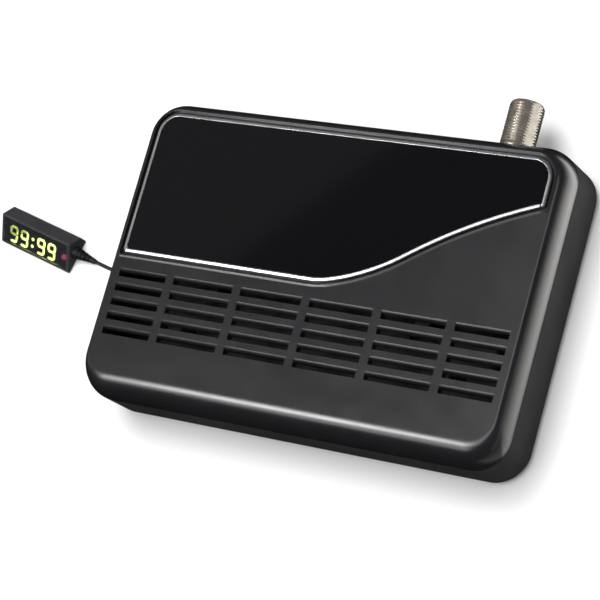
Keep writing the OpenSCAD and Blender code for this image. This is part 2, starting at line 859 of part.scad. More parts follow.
// Cross-section of the tied waist, grown by b
module tie_outline(b) {
    low = 0.28;
    high = hank_z + 3 * hank_layer + lead_d / 2 + 0.1;
    left = hank_x - 4.65;
    right = hank_x + 4.05;
    hull() {
        for (x = [left + 0.6, right - 0.6]) translate([x, low + 0.6]) circle(0.6 + b, $fn = 16);
        translate([left + 2.4, high - 2.4]) circle(2.4 + b, $fn = 24);
        translate([right - 0.8, high - 0.8]) circle(0.8 + b, $fn = 16);
    }
}

bottom_shell();
top_cover();
gloss_plate();
silver_edging();
rubber_feet();
case_screws();
main_board();
board_screws();
tuner_can();
aerial_barrel();
aerial_insulator();
aerial_contact();
video_socket();
video_tongue();
usb_socket();
usb_tongue();
sound_jack();
power_jack();
power_pin();
display_jack();
decoder_chip();
heat_sink();
memory_chips();
capacitors();
crystal_and_coils();
display_housing();
display_base();
display_window();
digit_block();
lit_digits();
status_lamp();
infrared_eye();
display_board();
display_relief();
plug_pin();
plug_grip();
plug_relief();
lead_display_side();
lead_plug_side();
lead_hank();
hank_tie();
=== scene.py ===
import math

import bmesh
import bpy
from mathutils import Matrix, Vector


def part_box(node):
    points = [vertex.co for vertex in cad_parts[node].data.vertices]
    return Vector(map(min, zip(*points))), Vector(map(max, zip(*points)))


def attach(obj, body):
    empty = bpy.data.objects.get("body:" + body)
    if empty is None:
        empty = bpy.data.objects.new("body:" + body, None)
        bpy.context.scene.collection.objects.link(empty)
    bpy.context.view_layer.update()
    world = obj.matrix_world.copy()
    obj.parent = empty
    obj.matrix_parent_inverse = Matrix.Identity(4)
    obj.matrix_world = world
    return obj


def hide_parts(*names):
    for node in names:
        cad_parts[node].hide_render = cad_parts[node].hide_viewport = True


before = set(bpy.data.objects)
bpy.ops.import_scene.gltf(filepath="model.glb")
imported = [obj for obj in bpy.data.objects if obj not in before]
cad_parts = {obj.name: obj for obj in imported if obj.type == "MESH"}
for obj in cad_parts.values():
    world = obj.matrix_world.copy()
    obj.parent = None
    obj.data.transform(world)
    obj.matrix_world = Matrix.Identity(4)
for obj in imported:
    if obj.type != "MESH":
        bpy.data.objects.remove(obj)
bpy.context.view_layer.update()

scene = bpy.context.scene
scene.view_settings.view_transform = "Standard"
print("frame loaded:", len(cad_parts), "nodes")

# Pieces are modelled in millimetres about the middle of the receiver, then put into the frame.
mm = 0.001
trayLow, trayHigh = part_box("bottom_shell")
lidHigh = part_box("top_cover")[1]
middle = Vector(((trayLow.x + trayHigh.x) / 2, (trayLow.y + trayHigh.y) / 2, 0))
halfWidth = (trayHigh.x - trayLow.x) / 2 / mm
halfDepth = (trayHigh.y - trayLow.y) / 2 / mm
baseZ = trayLow.z / mm
topZ = lidHigh.z / mm


def toFrame(point):
    return Vector(point) * mm + middle


camera = {
    "at": (320.07, -127.07, 555.53),  # from the middle of the receiver, in mm
    "forward": (-0.5076, 0.1875, -0.8409),
    "up": (-0.1388, 0.9455, 0.2946),
    "lens": 144.14,
    "sensor": 36.0,
}
lensData = bpy.data.cameras.new("camera")
lensData.lens = camera["lens"]
lensData.sensor_width = camera["sensor"]
lensData.clip_start, lensData.clip_end = 0.01, 20
cameraObject = bpy.data.objects.new("camera", lensData)
forward = Vector(camera["forward"]).normalized()
right = forward.cross(Vector(camera["up"])).normalized()
up = right.cross(forward)
looking = Matrix((right, up, -forward)).transposed().to_4x4()
cameraObject.matrix_world = Matrix.Translation(toFrame(camera["at"])) @ looking
scene.collection.objects.link(cameraObject)
scene.camera = cameraObject
print("camera placed")


def meshObject(name, points, faces):
    data = bpy.data.meshes.new(name)
    data.from_pydata([tuple(p) for p in points], [], faces)
    data.validate()
    thing = bpy.data.objects.new(name, data)
    scene.collection.objects.link(thing)
    return thing


def applied(thing):
    # the evaluated object becomes a plain mesh and its modifiers go
    graph = bpy.context.evaluated_depsgraph_get()
    graph.update()
    data = bpy.data.meshes.new_from_object(thing.evaluated_get(graph))
    thing.modifiers.clear()
    thing.data = data
    return thing


def cleaned(thing, reach=1e-4):
    # doubles merged, then every face turned outwards
    work = bmesh.new()
    work.from_mesh(thing.data)
    bmesh.ops.remove_doubles(work, verts=work.verts, dist=reach)
    bmesh.ops.dissolve_degenerate(work, edges=work.edges, dist=reach)
    bmesh.ops.recalc_face_normals(work, faces=work.faces)
    work.to_mesh(thing.data)
    work.free()
    return thing


def mixed(thing, other, way="DIFFERENCE"):
    # cuts the other solid away, or adds it
    step = thing.modifiers.new("mix", "BOOLEAN")
    step.operation = way
    step.solver = "EXACT"
    step.object = other
    applied(thing)
    bpy.data.objects.remove(other)
    return thing


def joined(name, things):
    work = bmesh.new()
    for thing in things:
        work.from_mesh(thing.data)
        bpy.data.objects.remove(thing)
    data = bpy.data.meshes.new(name)
    work.to_mesh(data)
    work.free()
    result = bpy.data.objects.new(name, data)
    scene.collection.objects.link(result)
    return result


def softened(thing, width, segments=2, angle=35):
    step = thing.modifiers.new("edges", "BEVEL")
    step.width = width
    step.segments = segments
    step.limit_method = "ANGLE"
    step.angle_limit = math.radians(angle)
    step.harden_normals = False
    return applied(thing)


def shaded(thing, angle=40):
    # smooth, with sharp edges kept and flat faces left flat
    thing.data.polygons.foreach_set("use_smooth", [True] * len(thing.data.polygons))
    thing.data.set_sharp_from_angle(angle=math.radians(angle))
    step = thing.modifiers.new("normals", "WEIGHTED_NORMAL")
    step.keep_sharp = True
    step.weight = 100
    return applied(thing)


def finished(thing, finish, body, replaced=(), angle=40):
    # from millimetres into the frame, then onto its body
    thing.data.transform(Matrix.Translation(middle) @ Matrix.Scale(mm, 4))
    shaded(thing, angle)
    thing.data.materials.clear()
    thing.data.materials.append(finish)
    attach(thing, body)
    if replaced:
        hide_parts(*replaced)
    return thing


def skinned(name, rings, closed=False):
    # skin through rings of equal length; the ends are capped, or joined where closed
    count = len(rings[0])
    points = [p for ring in rings for p in ring]
    faces = []
    for i in range(len(rings) if closed else len(rings) - 1):
        here, there = i * count, (i + 1) % len(rings) * count
        for k in range(count):
            following = (k + 1) % count
            faces.append((here + k, here + following, there + following, there + k))
    if not closed:
        faces.append(tuple(reversed(range(count))))
        faces.append(tuple(range((len(rings) - 1) * count, len(rings) * count)))
    return cleaned(meshObject(name, points, faces))


def boxed(name, low, high):
    points = [(x, y, z) for z in (low[2], high[2]) for x, y in
              ((low[0], low[1]), (high[0], low[1]), (high[0], high[1]), (low[0], high[1]))]
    return skinned(name, [points[:4], points[4:]])


def turned(name, profile, sides=48):
    # closed profile of (distance along, radius) pairs, turned about the local Z axis
    rings = []
    for k in range(sides):
        a = 2 * math.pi * k / sides
        rings.append([(r * math.cos(a), r * math.sin(a), z) for z, r in profile])
    return skinned(name, rings, closed=True)


def quarter(x, y, radius, begin, steps):
    # points along a quarter of a circle, begun at this angle in degrees
    angles = [math.radians(begin + 90 * k / steps) for k in range(steps + 1)]
    return [(x + radius * math.cos(a), y + radius * math.sin(a)) for a in angles]


def cylinder(name, low, high, radius, sides):
    return turned(name, [(low, 0.0), (low, radius), (high, radius), (high, 0.0)], sides)


def aligned(thing, start, direction):
    turn = Vector((0, 0, 1)).rotation_difference(Vector(direction)).to_matrix().to_4x4()
    thing.data.transform(Matrix.Translation(Vector(start)) @ turn)
    return thing


def gridTree():
    # copies of one part in columns and rows, made real
    tree = bpy.data.node_groups.new("partGrid", "GeometryNodeTree")
    face = tree.interface
    counts, steps = ("Columns", "Rows"), ("Column Step", "Row Step")
    for kind, value, names in (("Int", 2, counts), ("Float", 1.0, steps)):
        for name in names:
            face.new_socket(name, in_out="INPUT", socket_type="NodeSocket" + kind).default_value = value
    face.new_socket("Part", in_out="INPUT", socket_type="NodeSocketObject")
    face.new_socket("Finish", in_out="INPUT", socket_type="NodeSocketMaterial")
    face.new_socket("Copies", in_out="OUTPUT", socket_type="NodeSocketGeometry")
    source = tree.nodes.new("NodeGroupInput")
    columnStep = addNode(tree, "ShaderNodeCombineXYZ", inputs={"X": source.outputs["Column Step"]})
    rowStep = addNode(tree, "ShaderNodeCombineXYZ", inputs={"Y": source.outputs["Row Step"]})
    columns = addNode(tree, "GeometryNodeMeshLine", inputs={
        "Count": source.outputs["Columns"], "Offset": columnStep.outputs[0]})
    rows = addNode(tree, "GeometryNodeMeshLine", inputs={
        "Count": source.outputs["Rows"], "Offset": rowStep.outputs[0]})
    lines = addNode(tree, "GeometryNodeInstanceOnPoints", inputs={
        "Points": columns.outputs[0], "Instance": rows.outputs[0]})
    places = addNode(tree, "GeometryNodeRealizeInstances", inputs={"Geometry": lines.outputs[0]})
    part = addNode(tree, "GeometryNodeObjectInfo", inputs={"Object": source.outputs["Part"]})
    copies = addNode(tree, "GeometryNodeInstanceOnPoints", inputs={
        "Points": places.outputs[0], "Instance": part.outputs["Geometry"]})
    real = addNode(tree, "GeometryNodeRealizeInstances", inputs={"Geometry": copies.outputs[0]})
    painted = addNode(tree, "GeometryNodeSetMaterial", inputs={
        "Geometry": real.outputs[0], "Material": source.outputs["Finish"]})
    addNode(tree, "NodeGroupOutput", inputs={"Copies": painted.outputs[0]})
    return tree


def addNode(tree, kind, settings=None, inputs=None):
    # a node with its settings, and its inputs as values or as links
    node = tree.nodes.new(kind)
    for name, value in (settings or {}).items():
        setattr(node, name, value)
    for name, value in (inputs or {}).items():
        if isinstance(value, bpy.types.NodeSocket):
            tree.links.new(value, node.inputs[name])
        else:
            node.inputs[name].default_value = value
    return node


partGrid = gridTree()


def gridOf(name, part, columns, rows, columnStep, rowStep, start, finish=None):
    host = meshObject(name, [(0, 0, 0)], [])
    step = host.modifiers.new("grid", "NODES")
    step.node_group = partGrid
    values = {"Columns": columns, "Rows": rows, "Column Step": float(columnStep),
              "Row Step": float(rowStep), "Part": part, "Finish": finish}
    for socket in partGrid.interface.items_tree:
        if socket.in_out == "INPUT" and values.get(socket.name) is not None:
            step[socket.identifier] = values[socket.name]
    applied(host)
    host.data.transform(Matrix.Translation(Vector(start)))
    bpy.data.objects.remove(part)
    return host


def atCorners(name, part, at, finish=None):
    # one part at the four corners of a rectangle about the middle
    return gridOf(name, part, 2, 2, 2 * at[0], 2 * at[1], (-at[0], -at[1], 0), finish)


def hexColour(text):
    # sRGB hex to linear
    values = [int(text[i:i + 2], 16) / 255 for i in (1, 3, 5)]
    return tuple(v / 12.92 if v <= 0.04045 else ((v + 0.055) / 1.055) ** 2.4 for v in values) + (1.0,)


def perMm(size):
    # texture scale for a feature of this size in mm, on Object coordinates in metres
    return 1000 / size


def newFinish(name):
    finish = bpy.data.materials.new(name)
    finish.use_nodes = True
    tree = finish.node_tree
    tree.nodes.clear()
    shader = tree.nodes.new("ShaderNodeBsdfPrincipled")
    addNode(tree, "ShaderNodeOutputMaterial", inputs={"Surface": shader.outputs[0]})
    place = tree.nodes.new("ShaderNodeTexCoord").outputs["Object"]
    return finish, tree, shader, place


def setShader(shader, **values):
    for name, value in values.items():
        shader.inputs[name.replace("_", " ")].default_value = value


# Noise levels that give the darkest and lightest colour, and the least and most roughness
cloud = {"colour": (0.35, 0.65), "roughness": (0.3, 0.7), "detail": 3.0}


def noiseOf(tree, place, size, detail):
    return addNode(tree, "ShaderNodeTexNoise", inputs={
        "Vector": place, "Scale": perMm(size), "Detail": detail}).outputs["Fac"]


def twoTone(tree, place, size, dark, light):
    # soft mottling between two colours, the patches about size mm across
    ramp = addNode(tree, "ShaderNodeValToRGB", inputs={"Fac": noiseOf(tree, place, size, cloud["detail"])})
    for mark, at, colour in zip(ramp.color_ramp.elements, cloud["colour"], (dark, light)):
        mark.position, mark.color = at, hexColour(colour)
    return ramp.outputs["Color"]


def spread(tree, place, size, low, high):
    # noise mapped onto a range, for roughness
    least, most = cloud["roughness"]
    return addNode(tree, "ShaderNodeMapRange", inputs={
        "Value": noiseOf(tree, place, size, cloud["detail"]), "From Min": least, "From Max": most,
        "To Min": low, "To Max": high}).outputs[0]


def raised(tree, shader, source, strength, height):
    # relief on the shader's normal, its height in mm
    bump = addNode(tree, "ShaderNodeBump", inputs={
        "Strength": strength, "Distance": height * mm, "Height": source})
    tree.links.new(bump.outputs["Normal"], shader.inputs["Normal"])


def grain(tree, shader, place, size, strength, height=0.02, detail=2.0):
    raised(tree, shader, noiseOf(tree, place, size, detail), strength, height)


def cloudedFinish(name, size, dark, light, roughSize, roughness):
    # colour and roughness that drift between two values each, in patches of these sizes in mm
    finish, tree, shader, place = newFinish(name)
    tree.links.new(twoTone(tree, place, size, dark, light), shader.inputs["Base Color"])
    tree.links.new(spread(tree, place, roughSize, *roughness), shader.inputs["Roughness"])
    return finish, tree, shader, place


def mouldedAbs(name, dark, light, roughness, grainSize=0.45, grainStrength=0.25, specular=0.5):
    # ABS moulded in a spark-eroded tool: a satin skin with a fine even grain that spreads the highlight
    finish, tree, shader, place = cloudedFinish(name, 14, dark, light, 6, roughness)
    grain(tree, shader, place, grainSize, grainStrength)
    setShader(shader, IOR=1.52, Specular_IOR_Level=specular)
    return finish


lidAbs = mouldedAbs("satinAbsLid", "#1b1b1d", "#1f1f21", (0.21, 0.25), 0.45, 0.2, 0.95)
trayAbs = mouldedAbs("satinAbsTray", "#303031", "#363637", (0.6, 0.7), 0.45, 0.3, 0.08)
displayAbs = mouldedAbs("satinAbsDisplay", "#323234", "#393a3c", (0.3, 0.38), 0.35, 0.2)


def glossAcrylic():
    # black acrylic, cast and polished: a mirror-like skin with hairline wipe marks
    finish, tree, shader, place = newFinish("polishedBlackAcrylic")
    setShader(shader, Base_Color=hexColour("#0e0e10"), IOR=1.49)
    stretch = addNode(tree, "ShaderNodeMapping", inputs={"Vector": place, "Scale": (1, 14, 1)})
    tree.links.new(spread(tree, stretch.outputs[0], 8, 0.05, 0.085), shader.inputs["Roughness"])
    grain(tree, shader, place, 9, 0.04, 0.05, 1.0)
    return finish


def satinSilver():
    # vacuum-metallised plastic edging: bright satin silver with a faint drawn grain
    finish, tree, shader, place = cloudedFinish(
        "metallisedEdging", 5, "#d4d5d7", "#e3e4e6", 4, (0.26, 0.31))
    setShader(shader, Metallic=0.95)
    grain(tree, shader, place, 0.5, 0.04, 0.01)
    return finish


def nickelPlate(name, dark, light, roughness):
    # nickel plated brass, turned: warm grey metal with fine turning marks
    finish, tree, shader, place = cloudedFinish(name, 2.5, dark, light, 1.2, roughness)
    setShader(shader, Metallic=0.82)
    rings = addNode(tree, "ShaderNodeTexWave", {"bands_direction": "Y"}, {
        "Vector": place, "Scale": perMm(0.5), "Distortion": 0.6})
    raised(tree, shader, rings.outputs["Fac"], 0.1, 0.01)
    return finish


def leadRubber():
    # soft PVC jacket of a thin lead: black, slightly oily sheen, faint drag marks
    finish, tree, shader, place = cloudedFinish("softPvcJacket", 3, "#121214", "#1a1a1d", 1.5, (0.42, 0.55))
    setShader(shader, IOR=1.53)
    grain(tree, shader, place, 0.3, 0.2, 0.015)
    return finish


def satinSteel(name, dark, light, roughness, size=1.5):
    # plated or tinned sheet and turned steel: a grey metal, softly clouded
    finish, tree, shader, place = cloudedFinish(name, size, dark, light, size, roughness)
    setShader(shader, Metallic=1.0)
    grain(tree, shader, place, size / 4, 0.1, 0.01)
    return finish


def boardLaminate():
    # solder mask over copper on glass laminate: green gloss with slightly lighter track lines, darkened
    # nearly to black as painted shade for the dark inside of the case seen through the vents
    finish, tree, shader, place = newFinish("solderMaskLaminate")
    tracks = addNode(tree, "ShaderNodeTexBrick", inputs={
        "Vector": place, "Scale": perMm(1.2), "Mortar Size": 0.09, "Color1": hexColour("#040b07"),
        "Color2": hexColour("#050e08"), "Mortar": hexColour("#0a1b10")})
    tree.links.new(tracks.outputs["Color"], shader.inputs["Base Color"])
    tree.links.new(spread(tree, place, 3, 0.3, 0.45), shader.inputs["Roughness"])
    raised(tree, shader, tracks.outputs["Fac"], 0.3, 0.03)
    return finish


def smokedPmma():
    # smoked clear PMMA, injection moulded: lets the lit digits through and darkens the rest
    finish, tree, shader, place = newFinish("smokedPmma")
    setShader(shader, Base_Color=hexColour("#48494f"), Transmission_Weight=0.72, IOR=1.49)
    tree.links.new(spread(tree, place, 4, 0.02, 0.05), shader.inputs["Roughness"])
    grain(tree, shader, place, 6, 0.05, 0.02, 1.0)
    return finish


def litDiffuser(name, colour, glow):
    # lit diffuser behind the window: an even glow
    finish, tree, shader, place = newFinish(name)
    tree.links.new(twoTone(tree, place, 1.2, colour, colour), shader.inputs["Base Color"])
    setShader(shader, Emission_Color=hexColour(colour), Emission_Strength=glow, Roughness=0.5)
    grain(tree, shader, place, 0.3, 0.1, 0.01)
    return finish


tieFinish = mouldedAbs("wovenNylonTie", "#202022", "#2a2a2d", (0.6, 0.75), 0.25, 0.5)
edgingFinish = satinSilver()
plateFinish = glossAcrylic()
nickelFinish = nickelPlate("turnedNickelPlate", "#b9b1a6", "#d6cfc3", (0.2, 0.32))
tinFinish = satinSteel("tinnedSheet", "#9fa1a4", "#bcbdc0", (0.3, 0.42))
screwFinish = satinSteel("zincPlatedSteel", "#7d7e82", "#97989c", (0.3, 0.42), 0.8)
# steel darkened nearly to black: painted shade for the dark inside of the case seen through the vents
shadeDarkScrewFinish = satinSteel("shadeDarkenedSteel", "#151517", "#1d1d1f", (0.45, 0.55), 0.8)
sinkFinish = satinSteel("blackAnodisedAluminium", "#1b1c1e", "#242527", (0.4, 0.5))
brassFinish = nickelPlate("goldFlashedBrass", "#b98f3f", "#d3ab57", (0.22, 0.32))
leadFinish = leadRubber()
rubberFinish = mouldedAbs("mouldedRubberFoot", "#111112", "#19191a", (0.65, 0.8), 0.6, 0.35)
insulatorFinish = mouldedAbs("blackPbtInsulator", "#0f0f10", "#151516", (0.4, 0.55), 0.3, 0.2)
polyFinish = mouldedAbs("whitePolyethylene", "#dedbd0", "#ece9df", (0.35, 0.5), 0.5, 0.15)
resinFinish = mouldedAbs("mouldedChipResin", "#0e0e0f", "#151517", (0.55, 0.7), 0.2, 0.3)
sleeveFinish = mouldedAbs("shrunkCapacitorSleeve", "#0d0f15", "#14161d", (0.3, 0.4), 0.8, 0.1)
boardFinish = boardLaminate()
windowFinish = smokedPmma()
lensFinish = mouldedAbs("smokedInfraredLens", "#140c12", "#1b1118", (0.15, 0.22), 0.8, 0.05)
digitFinish = litDiffuser("litGreenDigits", "#e2f27a", 16.0)
lampFinish = litDiffuser("litRedLamp", "#d2485c", 16.0)
print("finishes ready")


def dressed(finish, *names):
    # a node of the frame keeps its mesh and takes this finish
    for name in names:
        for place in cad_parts[name].material_slots:
            place.material = finish


# the boards' near-black colour is painted shade for the inside of the case
dressed(boardFinish, "main_board", "display_board")
dressed(tinFinish, "tuner_can", "power_pin")
# the board screws take the steel darkened as painted shade
dressed(shadeDarkScrewFinish, "board_screws")
dressed(sinkFinish, "heat_sink")
dressed(resinFinish, "decoder_chip", "memory_chips", "digit_block")
dressed(sleeveFinish, "capacitors", "crystal_and_coils")
dressed(insulatorFinish, "sound_jack", "power_jack", "display_jack")
dressed(polyFinish, "aerial_insulator")
dressed(brassFinish, "aerial_contact")
dressed(nickelFinish, "plug_pin")
dressed(displayAbs, "display_base")
dressed(digitFinish, "lit_digits")
dressed(lampFinish, "status_lamp")
dressed(lensFinish, "infrared_eye")


lead = {
    "diameter": 1.0,
    "sides": 12,
    "relief": [(-92, -0.33, 2.15), (-84.6, -2.05, 0.7)],
    "displaySide": [(-84.6, -2.05, 0.7), (-83, -2.4, 0.57), (-81.2, -2.85, 0.52), (-79.4, -3.25, 0.52),
                    (-78, -3.4, 0.52), (-76.8, -3.1, 0.52), (-75.8, -2.2, 0.52), (-75.35, -1, 0.56),
                    (-75.2, 0.2, 0.7), (-75.2, 1.5, 0.8)],
    "plugSide": [(-66.05, 0.4, 5.2), (-66.5, -0.7, 5.35), (-67.1, -1.8, 5.6), (-67.7, -2.8, 5.8),
                 (-68.2, -3.7, 5.98), (-68.4, -4.5, 6.1)],
    "hankMiddle": (-70.2, 2.5, 0.8),
    "run": 20.0,
    "innerRadius": 1.85,
    "pitch": 1.46,
    "layer": 1.45,
    "waist": 0.8,
    "turns": 7.5,
    "narrowest": (2, 6),
    "runShare": 0.3,
    "ringsPerRun": 8,
    "ringsPerBend": 12,
}


def hankPoint(turn):
    # out along one run, round, back along the other, round
    # it spirals in and out, and climbs a layer each time
    share, runShare = turn - math.floor(turn), lead["runShare"]
    second = share >= 0.5
    part, side = (share - 0.5, 1) if second else (share, -1)
    bend = max(0.0, (part - runShare) / (0.5 - runShare))
    along = min(1.0, part / runShare)
    reach = min(abs(turn - (n + runShare / 2)) for n in lead["narrowest"])
    radius = lead["innerRadius"] + lead["pitch"] * reach
    if part < runShare:
        radius -= lead["waist"] * math.sin(math.pi * along) ** 2
    climb = (turn - runShare / 2) / 2
    nearest = math.floor(climb + 0.5)
    rise = max(0.0, min(1.0, (climb - nearest) * 2 / runShare + 0.5))
    level = 0 if nearest < 1 else nearest - 1 + rise
    x, y, z = lead["hankMiddle"]
    angle = math.pi * bend
    return Vector((
        x + side * radius * math.cos(angle),
        y + (1 - along if second else along) * lead["run"] - side * radius * math.sin(angle),
        z + lead["layer"] * level))


def smoothed(points, parts):
    # a curve through every point, cut into parts between neighbours
    route = [Vector(p) for p in points]
    result = []
    for i in range(len(route) - 1):
        a, b, c, d = (route[max(0, min(len(route) - 1, i + k))] for k in (-1, 0, 1, 2))
        for k in range(parts):
            t = k / parts
            result.append(0.5 * (2 * b + (c - a) * t + (2 * a - 5 * b + 4 * c - d) * t * t
                                 + (3 * b - a - 3 * c + d) * t ** 3))
    return result + [route[-1]]


def hankTurns():
    steps = []
    for half in range(int(2 * lead["turns"]) + 1):
        share, runShare = half / 2, lead["runShare"]
        steps += [share + runShare * k / lead["ringsPerRun"] for k in range(lead["ringsPerRun"])]
        if half < 2 * lead["turns"]:
            steps += [share + runShare + (0.5 - runShare) * k / lead["ringsPerBend"]
                      for k in range(lead["ringsPerBend"])]
        else:
            steps.append(share + runShare)
    return [hankPoint(t) for t in steps]


def tubeRings(route, radius, sides):
    # rings square to the route, carried along without twist
    rings = []
    side = None
    for i, point in enumerate(route):
        ahead = (route[min(i + 1, len(route) - 1)] - route[max(i - 1, 0)]).normalized()
        if side is None:
            side = ahead.cross(Vector((0, 0, 1))).normalized()
        side = (side - ahead * side.dot(ahead)).normalized()
        other = side.cross(ahead)
        rings.append([point + radius * (math.cos(2 * math.pi * k / sides) * side
                                        + math.sin(2 * math.pi * k / sides) * other) for k in range(sides)])
    return rings


def routeLength(route):
    return sum((b - a).length for a, b in zip(route, route[1:]))


def makeLead():
    hank = hankTurns()
    start = smoothed(lead["displaySide"], 3)
    end = smoothed([hank[-1], hank[-1] - Vector((0, lead["diameter"], 0))] + lead["plugSide"], 3)
    route = start + hank + end[1:]
    tube = skinned("display_lead", tubeRings(route, lead["diameter"] / 2, lead["sides"]))
    finished(tube, leadFinish, "display",
             ("lead_display_side", "lead_hank", "lead_plug_side"), angle=60)
    return tube, route


# Reliefs, in shares of their length: groove corners with their depth, where the grooves lie, and the tip
boot = {
    "groove": ((0.0, 0), (0.12, 0.16), (0.42, 0.16), (0.54, 0)), "first": 0.22, "span": 0.66,
    "tip": 0.97, "tipRound": 0.86, "grooves": 4, "sides": 32,
    "displayRadii": ((0, 2.0), (0.56, 1.2), (1, 0.68)), "plugRadii": ((0, 1.6), (1, 0.72)),
}


def ribbedRelief(name, start, end, radii, node):
    # tapered boot with turned grooves, so that it bends evenly; radii at shares of its length
    start, end = Vector(start), Vector(end)
    length = (end - start).length

    def radiusAt(share):
        for (s0, r0), (s1, r1) in zip(radii, radii[1:]):
            if share <= s1:
                return r0 + (r1 - r0) * (share - s0) / (s1 - s0)

    profile = [(0.0, 0.0), (0.0, radii[0][1])]
    for k in range(boot["grooves"]):
        for part, depth in boot["groove"]:
            share = boot["first"] + boot["span"] * (k + part) / boot["grooves"]
            profile.append((length * share, radiusAt(share) * (1 - depth)))
    tip = radii[-1][1]
    profile += [(length * boot["tip"], tip), (length, tip * boot["tipRound"]), (length, 0.0)]
    relief = aligned(turned(name, profile, boot["sides"]), start, end - start)
    return finished(relief, leadFinish, "display", (node,), angle=50)


leadTube, leadRoute = makeLead()
plug = {
    "axis": (-19.0, 6.1), "x": (-71.3, -65.6), "y": (-22.0, -10.5), "z": (3.3, 8.9), "round": 1.3,
    "grooves": 3, "grooveFirst": 3.4, "grooveStep": 2.2, "grooveWidth": 0.9, "grooveDepth": 0.3,
    "neckRadius": 2.5, "neckLength": 0.55, "neckChamfer": 0.1, "neckSunk": 0.05, "pinRadius": 1.75,
}
displayRelief = ribbedRelief("display_boot", *lead["relief"], boot["displayRadii"], "display_relief")
bootEnd = lead["plugSide"][-1]
plugRelief = ribbedRelief("plug_boot", (bootEnd[0], plug["y"][1], bootEnd[2]), bootEnd, boot["plugRadii"],
                          "plug_relief")


def makeGrip():
    # moulded right-angle grip with finger grooves on its top and bottom
    low, high = zip(plug["x"], plug["y"], plug["z"])
    grip = softened(boxed("plug_grip", low, high), plug["round"], 5)
    grooves = []
    for k in range(plug["grooves"]):
        y, deep = low[1] + plug["grooveFirst"] + plug["grooveStep"] * k, plug["grooveDepth"]
        for z in plug["z"]:
            grooves.append(boxed("groove", (low[0] - 1, y, z - deep),
                                 (high[0] + 1, y + plug["grooveWidth"], z + deep)))
    mixed(grip, joined("grooves", grooves))
    r, end, chamfer = plug["neckRadius"], plug["neckLength"], plug["neckChamfer"]
    neck = turned("neck", [(0.0, plug["pinRadius"]), (0.0, r), (end - chamfer, r), (end, r - chamfer),
                           (end, plug["pinRadius"])])
    aligned(neck, (high[0] - plug["neckSunk"], *plug["axis"]), (1, 0, 0))
    moulding = joined("plug_moulding", [grip, neck])
    return finished(moulding, leadFinish, "display", ("plug_grip",))


plugGrip = makeGrip()


# Tie: reach to the left and right of the hank's middle, and the roundings from the lower left one on
tie = {"low": 0.28, "left": 4.65, "right": 4.05, "layers": 3, "clear": 0.1, "rounds": (0.6, 0.6, 0.8, 2.4),
       "width": 3.0, "inner": 0.02, "band": 0.25, "edge": (0.06, 0.12), "steps": 8}


def tieOutline(grow):
    # cross-section of the tied waist, grown outwards
    x, y, z = lead["hankMiddle"]
    low, high = tie["low"], z + tie["layers"] * lead["layer"] + lead["diameter"] / 2 + tie["clear"]
    r1, r2, r3, r4 = tie["rounds"]
    left, far = x - tie["left"], x + tie["right"]
    corners = ((left + r1, low + r1, r1, 180), (far - r2, low + r2, r2, 270),
               (far - r3, high - r3, r3, 0), (left + r4, high - r4, r4, 90))
    return [p for x, z, r, begin in corners for p in quarter(x, z, r + grow, begin, tie["steps"])]


def makeTie():
    # hook-and-loop band: a thin strap with rounded edges
    width, inner, band = tie["width"], tie["inner"], tie["band"]
    flat, down = tie["edge"]
    near = lead["hankMiddle"][1] + lead["run"] / 2 - width / 2
    section = ((inner, 0.0), (band - flat, 0.0), (band, down), (band, width - down), (band - flat, width),
               (inner, width))
    rings = [[(x, near + across, z) for x, z in tieOutline(grow)] for grow, across in section]
    strap = skinned("hank_band", rings, closed=True)
    return finished(strap, tieFinish, "display", ("hank_tie",))


hankBand = makeTie()
print("lead made:", round(routeLength(leadRoute)), "mm")

case = {
    "seam": 15.5,
    "seamGroove": 0.16,
    "corner": 9.5,
    "cornerLoss": 2.5,
    "sideRound": 2.5,
    "frontRound": 6.0,
    "rearRound": 4.0,
    "footRound": 1.2,
    "floor": 3.5,
    "wall": 1.8,
    "lidWall": 2.4,
    "ceiling": 20.2,
    "topInset": 0.35,
    "grooveFoot": 0.3,
    "hollowRound": (2.5, 5.0, 2.5),
    "hollowLoss": 2.0,
    "cornerSteps": 16,
    "roundSteps": 16,
}


def lidRing(z, inset, r, q=0, side=0, front=0, rear=0):
    # outline of the case at one height, moved inwards by inset and by a share q of each rounding
    x0, x1 = -halfWidth + inset + side * q + r, halfWidth - inset - side * q - r
    y0, y1 = -halfDepth + inset + front * q + r, halfDepth - inset - rear * q - r
    return [(x, y, z) for i, corner in enumerate(((x1, y1), (x0, y1), (x0, y0), (x1, y0)))
            for x, y in quarter(*corner, r, 90 * i, case["cornerSteps"])]


def domedRings(inset, low, high, side, front, rear, r, loss):
    rings = []
    for k in range(case["roundSteps"] + 1):
        a = math.radians(90 * k / case["roundSteps"])
        q = 1 - math.cos(a)
        rings.append(lidRing(low + (high - low) * math.sin(a), inset, r - loss * q, q, side, front, rear))
    return rings


# Silver edging. Its crown and the plate's edge: distance inwards and depth under the top
# The bead outside it: distance outwards and height over the lid
edging = {
    "left": -61.2, "right": 60.6, "rear": 39.0, "rearRound": 6.0, "rearSteps": 12, "frontRound": 0.8,
    "waveX": -1.0, "waveY": -2.75,
    "waveRadius": (25.5, 62.5, 144.5),
    "waveSlope": (15.0, 35.5),
    "waveSteps": (8, 12, 14),
    "rise": 0.25, "pocket": 1.0, "gap": 0.9, "slit": 0.35, "slitInset": 1.1, "slitSpan": (15.0, 35.0),
    "outside": 0.35, "inside": 1.04,
    "crown": ((0.1, 0.32), (0.12, 0.22), (0.2, 0.15), (0.4, 0.095), (0.6, 0.05), (0.8, 0.015), (0.98, 0.0),
              (1.04, 0.04)),
    "bead": ((0.86, -0.5), (1.5, -0.5), (1.5, -0.012), (1.46, 0.003), (1.02, 0.165), (0.95, 0.185),
             (0.89, 0.16), (0.86, 0.06)),
    "plate": 1.1, "plateEdge": ((1.1, 0.1), (1.13, 0.03), (1.2, 0.0)),
}


